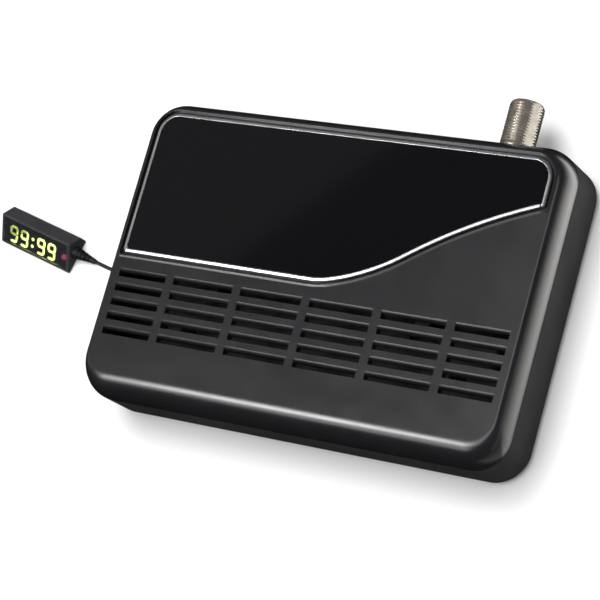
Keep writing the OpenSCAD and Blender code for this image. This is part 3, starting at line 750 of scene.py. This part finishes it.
def plateOutline(e, z):
    # outline moved inwards by e: the front run is straight, turns up, then bends back
    a1, a2 = (math.radians(v) for v in edging["waveSlope"])
    r1, r2, r3 = edging["waveRadius"]
    c1 = Vector((edging["waveX"], edging["waveY"] + r1))
    c2 = c1 + (r1 - r2) * Vector((math.sin(a1), -math.cos(a1)))
    c3 = c2 + (r2 + r3) * Vector((math.sin(a2), -math.cos(a2)))
    x0, x1, y1 = edging["left"] + e, edging["right"] - e, edging["rear"] - e
    last = math.asin((c3.x - x1) / (r3 + e))
    points = [c1 + Vector((0, e - r1))]
    arcs = ((c1, r1 - e, 0, a1), (c2, r2 - e, a1, a2), (c3, -r3 - e, a2, last))
    for (centre, r, begin, end), steps in zip(arcs, edging["waveSteps"]):
        for k in range(1, steps + 1):
            a = begin + (end - begin) * k / steps
            points.append(centre + r * Vector((math.sin(a), -math.cos(a))))
    r, front = edging["rearRound"] - e, edging["waveY"] + e
    for x, begin in ((x1 - r, 0), (x0 + r, 90)):
        points += quarter(x, y1 - r, r, begin, edging["rearSteps"])
    points += [(x0, front + edging["frontRound"]), (x0 + edging["frontRound"], front)]
    return [(x, y, z) for x, y in points]


vents = {
    "length": 19.1, "endLength": 15.5, "width": 1.4, "pitch": 4.15, "rows": 5, "columns": 4, "gap": 2.6,
    "firstY": -9.0, "depth": 4.0, "rearRound": 1.0,
    "bevel": ((1.0, 1.0), (0.98, 0.84), (0.9, 0.62), (0.75, 0.42), (0.55, 0.26), (0.3, 0.125),
              (0.06, 0.016), (0.03, 0.005)),
}


def ventCutter(length):
    # slot whose rear edge leans down to it as a soft bevel and then rolls over
    w, z, r = vents["width"] / 2, topZ, vents["rearRound"]
    section = [(-w, z - vents["depth"]), (w, z - vents["depth"])]
    section += [(w + r - r * back, z - r * down) for back, down in vents["bevel"]]
    section += [(w + r, z), (w + r, z + 1), (-w, z + 1)]
    return skinned("slot", [[(x, y, h) for y, h in section] for x in (0.0, length)])


def ventCutters():
    rows, columns, pitch, y = vents["rows"], vents["columns"], -vents["pitch"], vents["firstY"]
    gap, end = vents["gap"], vents["endLength"]
    step = vents["length"] + gap
    left = -columns / 2 * step + gap / 2
    inner = gridOf("innerSlots", ventCutter(vents["length"]), columns, rows, step, pitch, (left, y, 0))
    outer = gridOf("outerSlots", ventCutter(end), 2, rows, columns * step + end + gap, pitch,
                   (left - gap - end, y, 0))
    return [inner, outer]


# Openings of the rear wall: x, z and radius of the round ones; x, width, low and high of the square ones
rearHoles = {"aerial": (43.2, 11.9, 5.55), "sound": (-10.0, 10.8, 2.9), "power": (-48.0, 11.2, 3.5)}
rearSlots = {"video": (8.0, 15.6, 7.75, 13.75), "usb": (-28.0, 13.7, 7.75, 14.15)}
rearCut = (halfDepth - 4, halfDepth + 2)


def rearCutters():
    near, far = rearCut
    cutters = []
    for name, (x, z, r) in rearHoles.items():
        cutters.append(aligned(cylinder(name, 0.0, far - near, r, 64), (x, near, z), (0, 1, 0)))
    for name, (x, w, low, high) in rearSlots.items():
        cutters.append(boxed(name, (x - w / 2, near, low), (x + w / 2, far, high)))
    return cutters


feet = {
    "at": (50.0, 34.0), "radius": 4.0, "seat": 0.5, "play": 0.02,
    # the dish as height and radius, the rim as height and distance in from it
    "dish": ((0.3, 0.0), (0.28, 1.5), (0.0, 2.2)),
    "rim": ((0.0, 0.75), (0.12, 0.45), (0.42, 0.4), (0.55, 0.02)),
}
screws = {
    "at": (57.0, 34.0), "headRadius": 2.4, "headHeight": 1.6, "shank": 1.2, "length": 12.0, "thread": 0.9,
    # depth and distance in from the head's rim, then depth, half length and half width of the recess
    "crown": ((0.0, 0.7), (0.12, 0.35), (0.4, 0.08), (0.75, 0.0)),
    "cross": ((-0.1, 1.35, 0.2), (0.8, 1.05, 0.15)),
    "ridge": (0.25, 0.6, 0.85), "tip": 0.7,
    "lidPost": (9.0, 21.0, 2.8), "lidBore": (8.0, 18.5, 1.3),  # bottom, top and radius
    "play": 0.2, "lip": 0.25, "hole": 1.3, "holeTop": 10.0,
}


def makeLid():
    seam, groove, corner = case["seam"], case["seamGroove"], case["corner"]
    rounds, inset = (case["sideRound"], case["frontRound"], case["rearRound"]), case["topInset"]
    foot = groove * case["grooveFoot"]
    rings = [lidRing(seam, groove, corner - groove), lidRing(seam + foot, foot, corner - foot)]
    rings += domedRings(0, seam + groove, topZ, *rounds, corner, case["cornerLoss"])
    rings.append(lidRing(topZ, inset, corner - case["cornerLoss"] - inset, 1, *rounds))
    lid = skinned("lid", rings)
    hollow = domedRings(case["lidWall"], seam - 0.5, case["ceiling"], *case["hollowRound"],
                        corner - case["lidWall"], case["hollowLoss"])
    mixed(lid, skinned("hollow", hollow))
    mixed(lid, atCorners("posts", cylinder("post", *screws["lidPost"], 32), screws["at"]), "UNION")
    mixed(lid, atCorners("bores", cylinder("bore", *screws["lidBore"], 24), screws["at"]))
    for cutter in ventCutters() + rearCutters():
        mixed(lid, cutter)
    bead = [plateOutline(-e, topZ + h) for e, h in edging["bead"]]
    mixed(lid, skinned("bead", bead, closed=True), "UNION")
    pocket = [plateOutline(-edging["gap"], z) for z in (topZ - edging["pocket"], topZ + 1)]
    mixed(lid, skinned("pocket", pocket))
    return finished(lid, lidAbs, "receiver", ("top_cover",), angle=32)


print("lid made:", len(makeLid().data.polygons), "faces")

tray = {
    "footSteps": 6, "clearance": 0.1, "overlap": 0.05,
    "floorVent": (16.0, 1.5), "floorVentStep": (20.0, -4.0), "floorVentFirst": (-28.0, -10.0),
    "floorVentCount": (3, 5), "panelLow": (-26.0, 6.0), "panelHigh": (26.0, 32.0), "panelDepth": 0.3,
    "jackHole": (-19.0, 6.1, 2.5), "jackHoleLength": 5.0, "post": (3.2, 9.0), "boss": (2.4, 6.4),
    "bosses": ((-42, -19), (42, -19), (-39, 32), (23, 32)),
}


def makeTray():
    groove, floor, corner, foot = case["seamGroove"], case["floor"], case["corner"], case["footRound"]
    top = case["seam"] - tray["clearance"]
    steps = []
    for k in range(tray["footSteps"] + 1):
        a = math.radians(90 * k / tray["footSteps"])
        steps.append((baseZ + foot * (1 - math.cos(a)), foot * (1 - math.sin(a))))
    lean = groove * case["grooveFoot"]
    steps += [(top - groove, 0), (top - lean, lean), (top, groove)]
    shell = skinned("tray", [lidRing(z, inset, corner - inset) for z, inset in steps])
    wall = case["wall"]
    mixed(shell, skinned("inside", [lidRing(z, wall, corner - wall) for z in (floor, topZ)]))
    sunk = floor - tray["overlap"]
    r, high = tray["post"]
    mixed(shell, atCorners("posts", cylinder("post", sunk, high, r, 32), screws["at"]), "UNION")
    r, high = tray["boss"]
    bosses = [aligned(cylinder("boss", 0.0, high - floor + tray["overlap"], r, 32), (x, y, sunk), (0, 0, 1))
              for x, y in tray["bosses"]]
    mixed(shell, joined("bosses", bosses), "UNION")
    recess, lip = screws["headRadius"] + screws["play"], screws["lip"]
    thin, end = screws["hole"], screws["holeTop"]
    bore = turned("bore", [(0.0, 0.0), (0.0, recess + lip), (baseZ, recess + lip), (baseZ + lip, recess),
                           (floor, recess), (floor, thin), (end, thin), (end, 0.0)], 48)
    mixed(shell, atCorners("bores", bore, screws["at"]))
    seat = cylinder("seat", 0.0, baseZ + feet["seat"], feet["radius"] + feet["play"], 48)
    mixed(shell, atCorners("seats", seat, feet["at"]))
    slot = boxed("slot", (0, 0, 0), (*tray["floorVent"], floor + 1))
    mixed(shell, gridOf("floorSlots", slot, *tray["floorVentCount"], *tray["floorVentStep"],
                        (*tray["floorVentFirst"], 0)))
    mixed(shell, boxed("panel", (*tray["panelLow"], 0), (*tray["panelHigh"], baseZ + tray["panelDepth"])))
    for cutter in rearCutters():
        mixed(shell, cutter)
    y, z, r = tray["jackHole"]
    hole = cylinder("hole", 0.0, tray["jackHoleLength"], r, 48)
    mixed(shell, aligned(hole, (-halfWidth - 1, y, z), (1, 0, 0)))
    return finished(shell, trayAbs, "receiver", ("bottom_shell",), angle=32)


def makeFeet():
    # soft pads with a dished underside
    r, play, top = feet["radius"], feet["play"], baseZ + feet["seat"] - feet["play"]
    profile = list(feet["dish"]) + [(z, r - e) for z, e in feet["rim"]] + [(top, r - play), (top, 0.0)]
    grid = atCorners("rubber_pads", turned("pad", profile, 40), feet["at"], rubberFinish)
    return finished(grid, rubberFinish, "receiver", ("rubber_feet",))


def makeScrew():
    # pan head with a cross recess, and a shank with turned ridges
    r, high, shank, end = screws["headRadius"], screws["headHeight"], screws["shank"], screws["length"]
    profile = [(0.0, 0.0)] + [(z, r - e) for z, e in screws["crown"]] + [(high, r), (high, shank)]
    down, level, up = screws["ridge"]
    for k in range(int(end / screws["thread"])):
        a = high + k * screws["thread"]
        profile += [(a + down, shank - down), (a + level, shank - down), (a + up, shank)]
    profile += [(high + end, shank - screws["tip"]), (high + end, 0.0)]
    screw = turned("screw", profile, 32)
    rings = []
    for z, a, b in screws["cross"]:
        half = ((-b, -a), (b, -a), (b, -b), (a, -b), (a, b), (b, b))
        rings.append([(x, y, z) for x, y in half + tuple((-x, -y) for x, y in half)])
    mixed(screw, skinned("cross", rings))
    screw.data.transform(Matrix.Translation((0, 0, case["floor"] - high)))
    return screw


def makeScrews():
    grid = atCorners("tray_screws", makeScrew(), screws["at"], screwFinish)
    return finished(grid, screwFinish, "receiver", ("case_screws",), angle=30)


makeTray()
makeFeet()
makeScrews()
print("tray, feet and screws made")


def makeEdging():
    # strip whose crowned top leans outwards, cut through where the front run meets the right side
    low, high = topZ - edging["pocket"], topZ + edging["rise"]
    section = [(edging["outside"], low)] + [(e, high - down) for e, down in edging["crown"]]
    section.append((edging["inside"], low))
    strip = skinned("silver_strip", [plateOutline(e, z) for e, z in section], closed=True)
    x, (near, far) = edging["right"] - edging["slitInset"] - edging["slit"], edging["slitSpan"]
    mixed(strip, boxed("slit", (x, edging["waveY"] + near, 0),
                       (x + edging["slit"], edging["waveY"] + far, topZ + 1)))
    return finished(strip, edgingFinish, "receiver", ("silver_edging",), angle=50)


def makePlate():
    section = [(edging["plate"], topZ - edging["pocket"])]
    section += [(e, topZ - down) for e, down in edging["plateEdge"]]
    plate = skinned("gloss_panel", [plateOutline(e, z) for e, z in section])
    return finished(plate, plateFinish, "receiver", ("gloss_plate",), angle=50)


makeEdging()
makePlate()
print("plate and edging made")

aerial = {
    "x": 43.2, "z": 11.9, "inner": 40.05, "flangeEnd": 41.15, "collarEnd": 43.0, "tip": 56.4,
    "flange": 6.2, "collar": 5.4, "chamfer": 0.15, "thread": 4.75, "depth": 0.38, "pitch": 0.79,
    "runOut": (0.5, 0.8), "nose": (1.8, 1.4), "flat": 4.28, "flatTurn": 27.0, "flatStart": 44.2,
    "bore": 3.3, "boreEnd": 46.0, "mouth": 0.05, "core": 1.6, "sides": 96, "stepsPerThread": 7,
}


def threadRadius(y, share):
    # sixty-degree thread with a small flat at crest and root, run out at its foot, rounded over at
    # its nose and cut away along two flats
    crest, root = aerial["thread"], aerial["thread"] - aerial["depth"]
    phase = ((y - aerial["collarEnd"]) / aerial["pitch"] - share) % 1.0
    wave = min(1.0, max(0.0, 1.25 - 2.5 * abs(phase - 0.5)))
    begin, over = aerial["runOut"]
    fade = min(1.0, max(0.0, (y - aerial["collarEnd"] - begin) / over))
    long, deep = aerial["nose"]
    past = max(0.0, y - (aerial["tip"] - long)) / long
    radius = min(root + (crest - root) * wave * fade, crest - deep * (1 - math.sqrt(1 - past * past)))
    if y > aerial["flatStart"]:
        off = math.radians((360 * share - aerial["flatTurn"] + 90) % 180 - 90)
        radius = min(radius, aerial["flat"] / max(math.cos(off), 0.1))
    return radius


def makeAerial():
    sides, tip, start = aerial["sides"], aerial["tip"], aerial["collarEnd"]
    count = int((tip - start) / aerial["pitch"] * aerial["stepsPerThread"])
    inner, edge, core, bore = aerial["inner"], aerial["flangeEnd"], aerial["core"], aerial["bore"]
    flange, collar, chamfer = aerial["flange"], aerial["collar"], aerial["chamfer"]
    profile = [(inner, core), (inner, flange), (edge, flange), (edge, collar), (start - chamfer, collar),
               (start, collar - chamfer)]
    after = [(tip - aerial["mouth"], bore), (aerial["boreEnd"], bore), (aerial["boreEnd"], core)]

    def at(y, r, k):
        a = 2 * math.pi * k / sides
        return (aerial["x"] + r * math.cos(a), y, aerial["z"] + r * math.sin(a))

    rings = [[at(y, r, k) for k in range(sides)] for y, r in profile]
    for i in range(count + 1):
        y = start + (tip - start) * i / count
        rings.append([at(y, threadRadius(y, k / sides), k) for k in range(sides)])
    rings += [[at(y, r, k) for k in range(sides)] for y, r in after]
    barrel = skinned("aerial_socket", rings, closed=True)
    return finished(barrel, nickelFinish, "receiver", ("aerial_barrel",), angle=16)


makeAerial()
print("aerial socket made")

# Bars: half width, where they start and end in from the rear, bottom and top over the socket's bottom
# Contact rows: how many, the face of the bar they lie on, and whether it is the upper one
sockets = {
    "video": {
        "x": 8.0, "low": 8.0, "size": (15.0, 12.0, 5.5), "sheet": 0.4, "chamfer": 1.2,
        "bar": (5.6, 11.0, 1.2, 1.9, 3.4), "back": (6.5, 11.0, 10.2, 0.4, 5.1),
        "rows": ((10, 3.4, True), (9, 1.9, False)), "step": 1.0, "width": 0.42, "length": 8.6,
        "thick": 0.06, "inset": 1.6,
    },
    "usb": {
        "x": -28.0, "low": 8.0, "size": (13.1, 14.0, 5.9), "sheet": 0.35, "chamfer": 0.3,
        "bar": (5.55, 12.6, 0.6, 3.2, 5.0), "back": (6.15, 13.0, 12.0, 0.35, 5.55),
        "rows": ((4, 3.2, False),), "step": 2.3, "width": 1.1, "length": 8.5, "thick": 0.08, "inset": 1.4,
    },
}
socketFold = {"upper": 0.3, "slant": 0.59, "least": 0.05, "roll": 0.12, "lip": (0.1, 0.08),
              "backSheet": 1.0, "barRound": 0.25, "sunk": 0.02}


def socketOutline(facts, e, y):
    w, h = facts["size"][0] / 2 - e, facts["size"][2]
    c = max(facts["chamfer"] - socketFold["slant"] * e, socketFold["least"])
    x, low, high, d = facts["x"], facts["low"] + e, facts["low"] + h - e, c * socketFold["upper"]
    return [(x + w, y, high - d), (x + w - d, y, high), (x - w + d, y, high), (x - w, y, high - d),
            (x - w, y, low + c), (x - w + c, y, low), (x + w - c, y, low), (x + w, y, low + c)]


def makeSocket(name, facts, node):
    # folded sheet shell, closed at its back, with a rolled mouth
    sheet, front, roll = facts["sheet"], halfDepth, socketFold["roll"]
    back, (outer, inner) = front - facts["size"][1], socketFold["lip"]
    section = ((0.0, back), (0.0, front - roll), (outer, front), (sheet - inner, front),
               (sheet, front - roll), (sheet, back + socketFold["backSheet"]))
    shell = skinned(name, [socketOutline(facts, e, y) for e, y in section])
    return finished(shell, tinFinish, "receiver", (node,))


def barBox(facts, key):
    half, deep, near, bottom, top = facts[key]
    x, low = facts["x"], facts["low"]
    return boxed(key, (x - half, halfDepth - deep, low + bottom), (x + half, halfDepth - near, low + top))


def makeTongue(name, facts, finish, node):
    bar = softened(barBox(facts, "bar"), socketFold["barRound"], 3)
    mixed(bar, barBox(facts, "back"), "UNION")
    bar.name = name
    return finished(bar, finish, "receiver", (node,))


def makeContacts():
    # strips let slightly into the faces of the bars
    strips, sunk = [], socketFold["sunk"]
    for facts in sockets.values():
        w, length, t, step = facts["width"] / 2, facts["length"], facts["thick"], facts["step"]
        for count, face, upper in facts["rows"]:
            z = facts["low"] + face - sunk if upper else facts["low"] + face - t + sunk
            strip = boxed("strip", (-w, -length, z), (w, 0, z + t))
            start = (facts["x"] - step * (count - 1) / 2, halfDepth - facts["inset"], 0)
            strips.append(gridOf("strips", strip, count, 1, step, 0, start, brassFinish))
    return finished(joined("socket_contacts", strips), brassFinish, "receiver")


makeSocket("video_shell", sockets["video"], "video_socket")
makeSocket("usb_shell", sockets["usb"], "usb_socket")
makeTongue("video_bar", sockets["video"], insulatorFinish, "video_tongue")
makeTongue("usb_bar", sockets["usb"], polyFinish, "usb_tongue")
makeContacts()
print("rear sockets made")

# Display: u runs along it and v up its sloping face, w stands out of the face
display = {
    "corner": (-120.0, -0.1), "turn": -13.3, "length": 27.7, "lip": 1.0, "face": 8.9, "tilt": 37.5,
    "strip": 4.8, "stripTilt": 42.5, "wall": 0.8, "edge": 0.38, "short": 0.03, "bottom": (-1.0, 0.9),
    "opening": (1.0, 0.6, -1.2, 0.8), "pane": (1.05, 0.65, -0.5, -0.05), "paneEdge": 0.1,
}


def inDisplay(u, y, z):
    a = math.radians(display["turn"])
    return (display["corner"][0] + u * math.cos(a) - y * math.sin(a),
            display["corner"][1] + u * math.sin(a) + y * math.cos(a), z)


def onFace(u, v, w):
    a = math.radians(display["tilt"])
    back, up = v * math.cos(a) - w * math.sin(a), v * math.sin(a)
    return inDisplay(u, back, display["lip"] + up + w * math.cos(a))


def wedgeOutline(e):
    # lip, sloping face, ridge and sloping back strip, moved inwards by e
    a, b = math.radians(display["tilt"]), math.radians(display["stripTilt"])
    ridge = (display["face"] * math.cos(a), display["lip"] + display["face"] * math.sin(a))
    rear = (ridge[0] + display["strip"] * math.cos(b), ridge[1] - display["strip"] * math.sin(b))
    corners = [Vector(p) for p in ((0, 0), (0, display["lip"]), ridge, rear, (rear[0], 0))]
    moved = []
    for i, here in enumerate(corners):
        before, after = corners[i - 1], corners[(i + 1) % len(corners)]
        t1, t2 = (here - before).normalized(), (after - here).normalized()
        n1, n2 = Vector((t1.y, -t1.x)), Vector((t2.y, -t2.x))
        moved.append(here + (n1 + n2) / (1 + n1.dot(n2)) * e)
    return moved


def wedgePrism(name, u0, u1, e):
    return skinned(name, [[inDisplay(u, p.x, p.y) for p in wedgeOutline(e)] for u in (u0, u1)])


def faceBox(name, u, v, low, high):
    # box on the sloping face, kept u and v away from its edges
    far, top = display["length"] - u, display["face"] - v
    outline = ((u, v), (far, v), (far, top), (u, top))
    return skinned(name, [[onFace(a, b, w) for a, b in outline] for w in (low, high)])


def makeDisplay():
    length, wall, short = display["length"], display["wall"], display["short"]
    housing = wedgePrism("display_case", 0.0, length, 0.0)
    softened(housing, display["edge"], 4, 20)
    mixed(housing, wedgePrism("hollow", wall, length - wall, wall))
    # the bottom opening stops just short of the hollow's sides
    near, rear = wall + short, wedgeOutline(wall)[3].x - short
    outline = ((near, near), (length - near, near), (length - near, rear), (near, rear))
    bottom = [[inDisplay(u, y, z) for u, y in outline] for z in display["bottom"]]
    mixed(housing, skinned("bottom", bottom))
    mixed(housing, faceBox("opening", *display["opening"]))
    cleaned(housing, 1e-3)
    finished(housing, displayAbs, "display", ("display_housing",), angle=30)
    pane = softened(faceBox("smoked_pane", *display["pane"]), display["paneEdge"], 2)
    finished(pane, windowFinish, "display", ("display_window",), angle=30)


makeDisplay()
print("display made")

studio = {
    # black flags: where they begin beside the case, how far they reach and how high they stand, in mm
    "flagHeight": 0.3, "flagSide": 1.0, "flagFront": 2.0, "far": 700.0, "flagTop": 280.0,
    # the card over the ground on the right: level along its width; its glow carries painted shade of the
    # ground, dimmer towards the front and lowest close beside the case, where the case's shadow falls
    "cardGap": 0.2, "cardSpan": 300.0, "cardWide": 500.0, "cardGlow": 8.0, "cardDim": 0.42,
    "cardFront": -35.0, "cardRear": 45.0,
    "cardRamp": ((0.001, 0.0), (0.018, 0.03), (0.028, 0.3), (0.04, 0.48), (0.055, 0.42), (0.08, 0.32),
                 (0.14, 0.2), (0.2, 0.13), (0.4, 0.07), (0.98, 0.02)),
    # the card in the plate: its edge goes through the first two marks and it lies on the third one's side
    "plateMarks": ((11.4, 36.5), (-15.2, 9.6), (-40.0, 30.0)), "plateSize": (0.34, 0.6), "plateGlow": 0.08,
    "plateReach": 1000.0,
    "floor": "#fafafa", "floorHalf": 3.0,
    "low": 0.32, "high": 0.015,  # world level at the horizon and overhead
    "bandTop": 0.34, "bandFoot": 0.0,  # sine of the elevation between which the one fades into the other
}
# Lamps: direction from the receiver, distance and size in metres, watts, turn in degrees, what each lights
lamps = {
    "keyLamp": ((-0.22, 0.4, 0.89), 1.3, (0.75, 0.75), 7.5, 0, "diffuse"),
    "fillLamp": ((0.01, 0.0, 1.0), 1.6, (2.2, 2.2), 41.0, 0, "diffuse"),
    "frontEdgeCard": ((-0.47, -0.2, 0.86), 1.0, (0.26, 0.26), 2.6, -24, "glossy"),
    "frontTailCard": ((-0.47, -0.44, 0.77), 1.0, (0.55, 0.28), 1.1, 0, "glossy"),
    "trimCard": ((-0.2, -0.05, 0.98), 1.0, (0.75, 0.3), 1.0, -16, "glossy"),
    "rearEdgeCard": ((-0.51, 0.6, 0.62), 1.0, (0.45, 0.34), 0.058, 0, "glossy"),
    "leftEdgeCard": ((-0.9, 0.1, 0.42), 0.6, (0.36, 0.24), 0.1, 0, "glossy"),
}


def areaLamp(name, size, power, place):
    lamp = bpy.data.lights.new(name, "AREA")
    lamp.shape = "RECTANGLE"
    lamp.size, lamp.size_y = size
    lamp.energy = power
    holder = bpy.data.objects.new(name, lamp)
    holder.matrix_world = place
    holder.visible_camera = False
    scene.collection.objects.link(holder)
    return holder


def makeLamp(name, direction, distance, size, power, turn, lights):
    aim = Vector(direction).normalized()
    # local X level, local Y upwards, the face towards the receiver
    level = Vector((0, 0, 1)).cross(aim).normalized()
    axes = Matrix((level, aim.cross(level), aim)).transposed().to_4x4()
    axes = axes @ Matrix.Rotation(math.radians(turn), 4, "Z")
    place = Matrix.Translation(toFrame((0, 0, topZ)) + aim * distance) @ axes
    holder = areaLamp(name, size, power, place)
    holder.visible_diffuse = lights != "glossy"
    holder.visible_glossy = holder.visible_transmission = lights != "diffuse"


def makePlateCard():
    # dim card that the gloss plate mirrors, its right edge laid through two points of the plate
    mirrored = []
    for x, y in studio["plateMarks"]:
        mark = Vector((x, y, topZ))
        ray = (mark - Vector(camera["at"])).normalized()
        mirrored.append(toFrame(mark + Vector((ray.x, ray.y, -ray.z)) * studio["plateReach"]))
    edge = (mirrored[0] - mirrored[1]).normalized()
    across = mirrored[2] - mirrored[1]
    across = (across - edge * across.dot(edge)).normalized()
    face = edge.cross(across)
    if face.z < 0:
        face = -face
    centre = (mirrored[0] + mirrored[1]) / 2 + across * studio["plateSize"][0] / 2
    axes = Matrix((across, face.cross(across), face)).transposed().to_4x4()
    place = Matrix.Translation(centre) @ axes
    areaLamp("plateCard", studio["plateSize"], studio["plateGlow"], place).visible_diffuse = False


def mirroredOnly(card, finish):
    # seen by reflections alone
    card.data.materials.append(finish)
    card.visible_camera = card.visible_diffuse = card.visible_shadow = card.visible_transmission = False


def makeFlags():
    # black cards round the front, the left and the rear, so that only the right side mirrors the
    # bright card over the ground
    x, y = halfWidth + studio["flagSide"], -halfDepth - studio["flagFront"]
    far, high, z = studio["far"], studio["flagTop"], studio["flagHeight"]
    points = [(-far, -far, z), (x, -far, z), (x, y, z), (x, far, z), (-far, far, z), (-far, y, z),
              (far, -far, z), (far, y, z),
              (-far, -far, high), (far, -far, high), (x, far, high), (-far, far, high)]
    faces = [(0, 1, 2, 5), (5, 2, 3, 4), (1, 6, 7, 2), (0, 6, 9, 8), (0, 4, 11, 8), (3, 4, 11, 10)]
    flags = meshObject("blackFlags", [toFrame(p) for p in points], faces)
    finish, tree, shader, place = newFinish("blackFlag")
    setShader(shader, Base_Color=hexColour("#050505"), Roughness=1.0, Specular_IOR_Level=0.0)
    mirroredOnly(flags, finish)


def makeGroundCard():
    # brighter than the floor: the over-exposed ground that the right side mirrors, with the ground's shadow
    # painted into its glow
    near, far = halfWidth + studio["cardGap"], studio["far"]
    wide, z = studio["cardWide"], studio["flagHeight"]
    corners = [(near, -wide, z), (far, -wide, z), (far, wide, z), (near, wide, z)]
    card = meshObject("groundCard", [toFrame(p) for p in corners], [(0, 1, 2, 3)])
    finish, tree, shader, place = newFinish("overexposedGround")
    setShader(shader, Base_Color=hexColour("#000000"), Emission_Color=hexColour("#fffdfa"))
    parts = addNode(tree, "ShaderNodeSeparateXYZ", inputs={"Vector": place})
    across = addNode(tree, "ShaderNodeMapRange", inputs={
        "Value": parts.outputs["X"], "From Min": middle.x + near * mm,
        "From Max": middle.x + (near + studio["cardSpan"]) * mm})
    # the ramp paints the ground's contact shadow as a dark strip right beside the case
    ramp = addNode(tree, "ShaderNodeValToRGB", inputs={"Fac": across.outputs[0]})
    for share, level in studio["cardRamp"]:
        mark = ramp.color_ramp.elements.new(share)
        mark.color = (level, level, level, 1)
    for end in (0, -1):
        ramp.color_ramp.elements.remove(ramp.color_ramp.elements[end])
    # painted shadow: the glow dims towards the front
    along = addNode(tree, "ShaderNodeMapRange", inputs={
        "Value": parts.outputs["Y"], "From Min": middle.y + studio["cardFront"] * mm,
        "From Max": middle.y + studio["cardRear"] * mm, "To Min": studio["cardGlow"] * studio["cardDim"],
        "To Max": studio["cardGlow"]})
    glow = addNode(tree, "ShaderNodeMath", {"operation": "MULTIPLY"})
    tree.links.new(ramp.outputs["Color"], glow.inputs[0])
    tree.links.new(along.outputs[0], glow.inputs[1])
    tree.links.new(glow.outputs[0], shader.inputs["Emission Strength"])
    mirroredOnly(card, finish)


def makeStudio():
    s = studio["floorHalf"]
    floor = meshObject("floor", [(-s, -s, 0), (s, -s, 0), (s, s, 0), (-s, s, 0)], [(0, 1, 2, 3)])
    finish, tree, shader, place = newFinish("paleFloor")
    setShader(shader, Base_Color=hexColour(studio["floor"]), Roughness=0.9)
    floor.data.materials.append(finish)
    world = bpy.data.worlds.new("studio")
    world.use_nodes = True
    tree = world.node_tree
    sky = addNode(tree, "ShaderNodeTexCoord")
    parts = addNode(tree, "ShaderNodeSeparateXYZ", inputs={"Vector": sky.outputs["Generated"]})
    level = addNode(tree, "ShaderNodeMapRange", inputs={
        "Value": parts.outputs["Z"], "From Min": studio["bandFoot"], "From Max": studio["bandTop"],
        "To Min": studio["low"], "To Max": studio["high"]})
    tree.links.new(level.outputs[0], tree.nodes["Background"].inputs["Strength"])
    tree.nodes["Background"].inputs["Color"].default_value = hexColour("#ffffff")
    scene.world = world
    makeFlags()
    makeGroundCard()
    for name, facts in lamps.items():
        makeLamp(name, *facts)
    makePlateCard()


makeStudio()
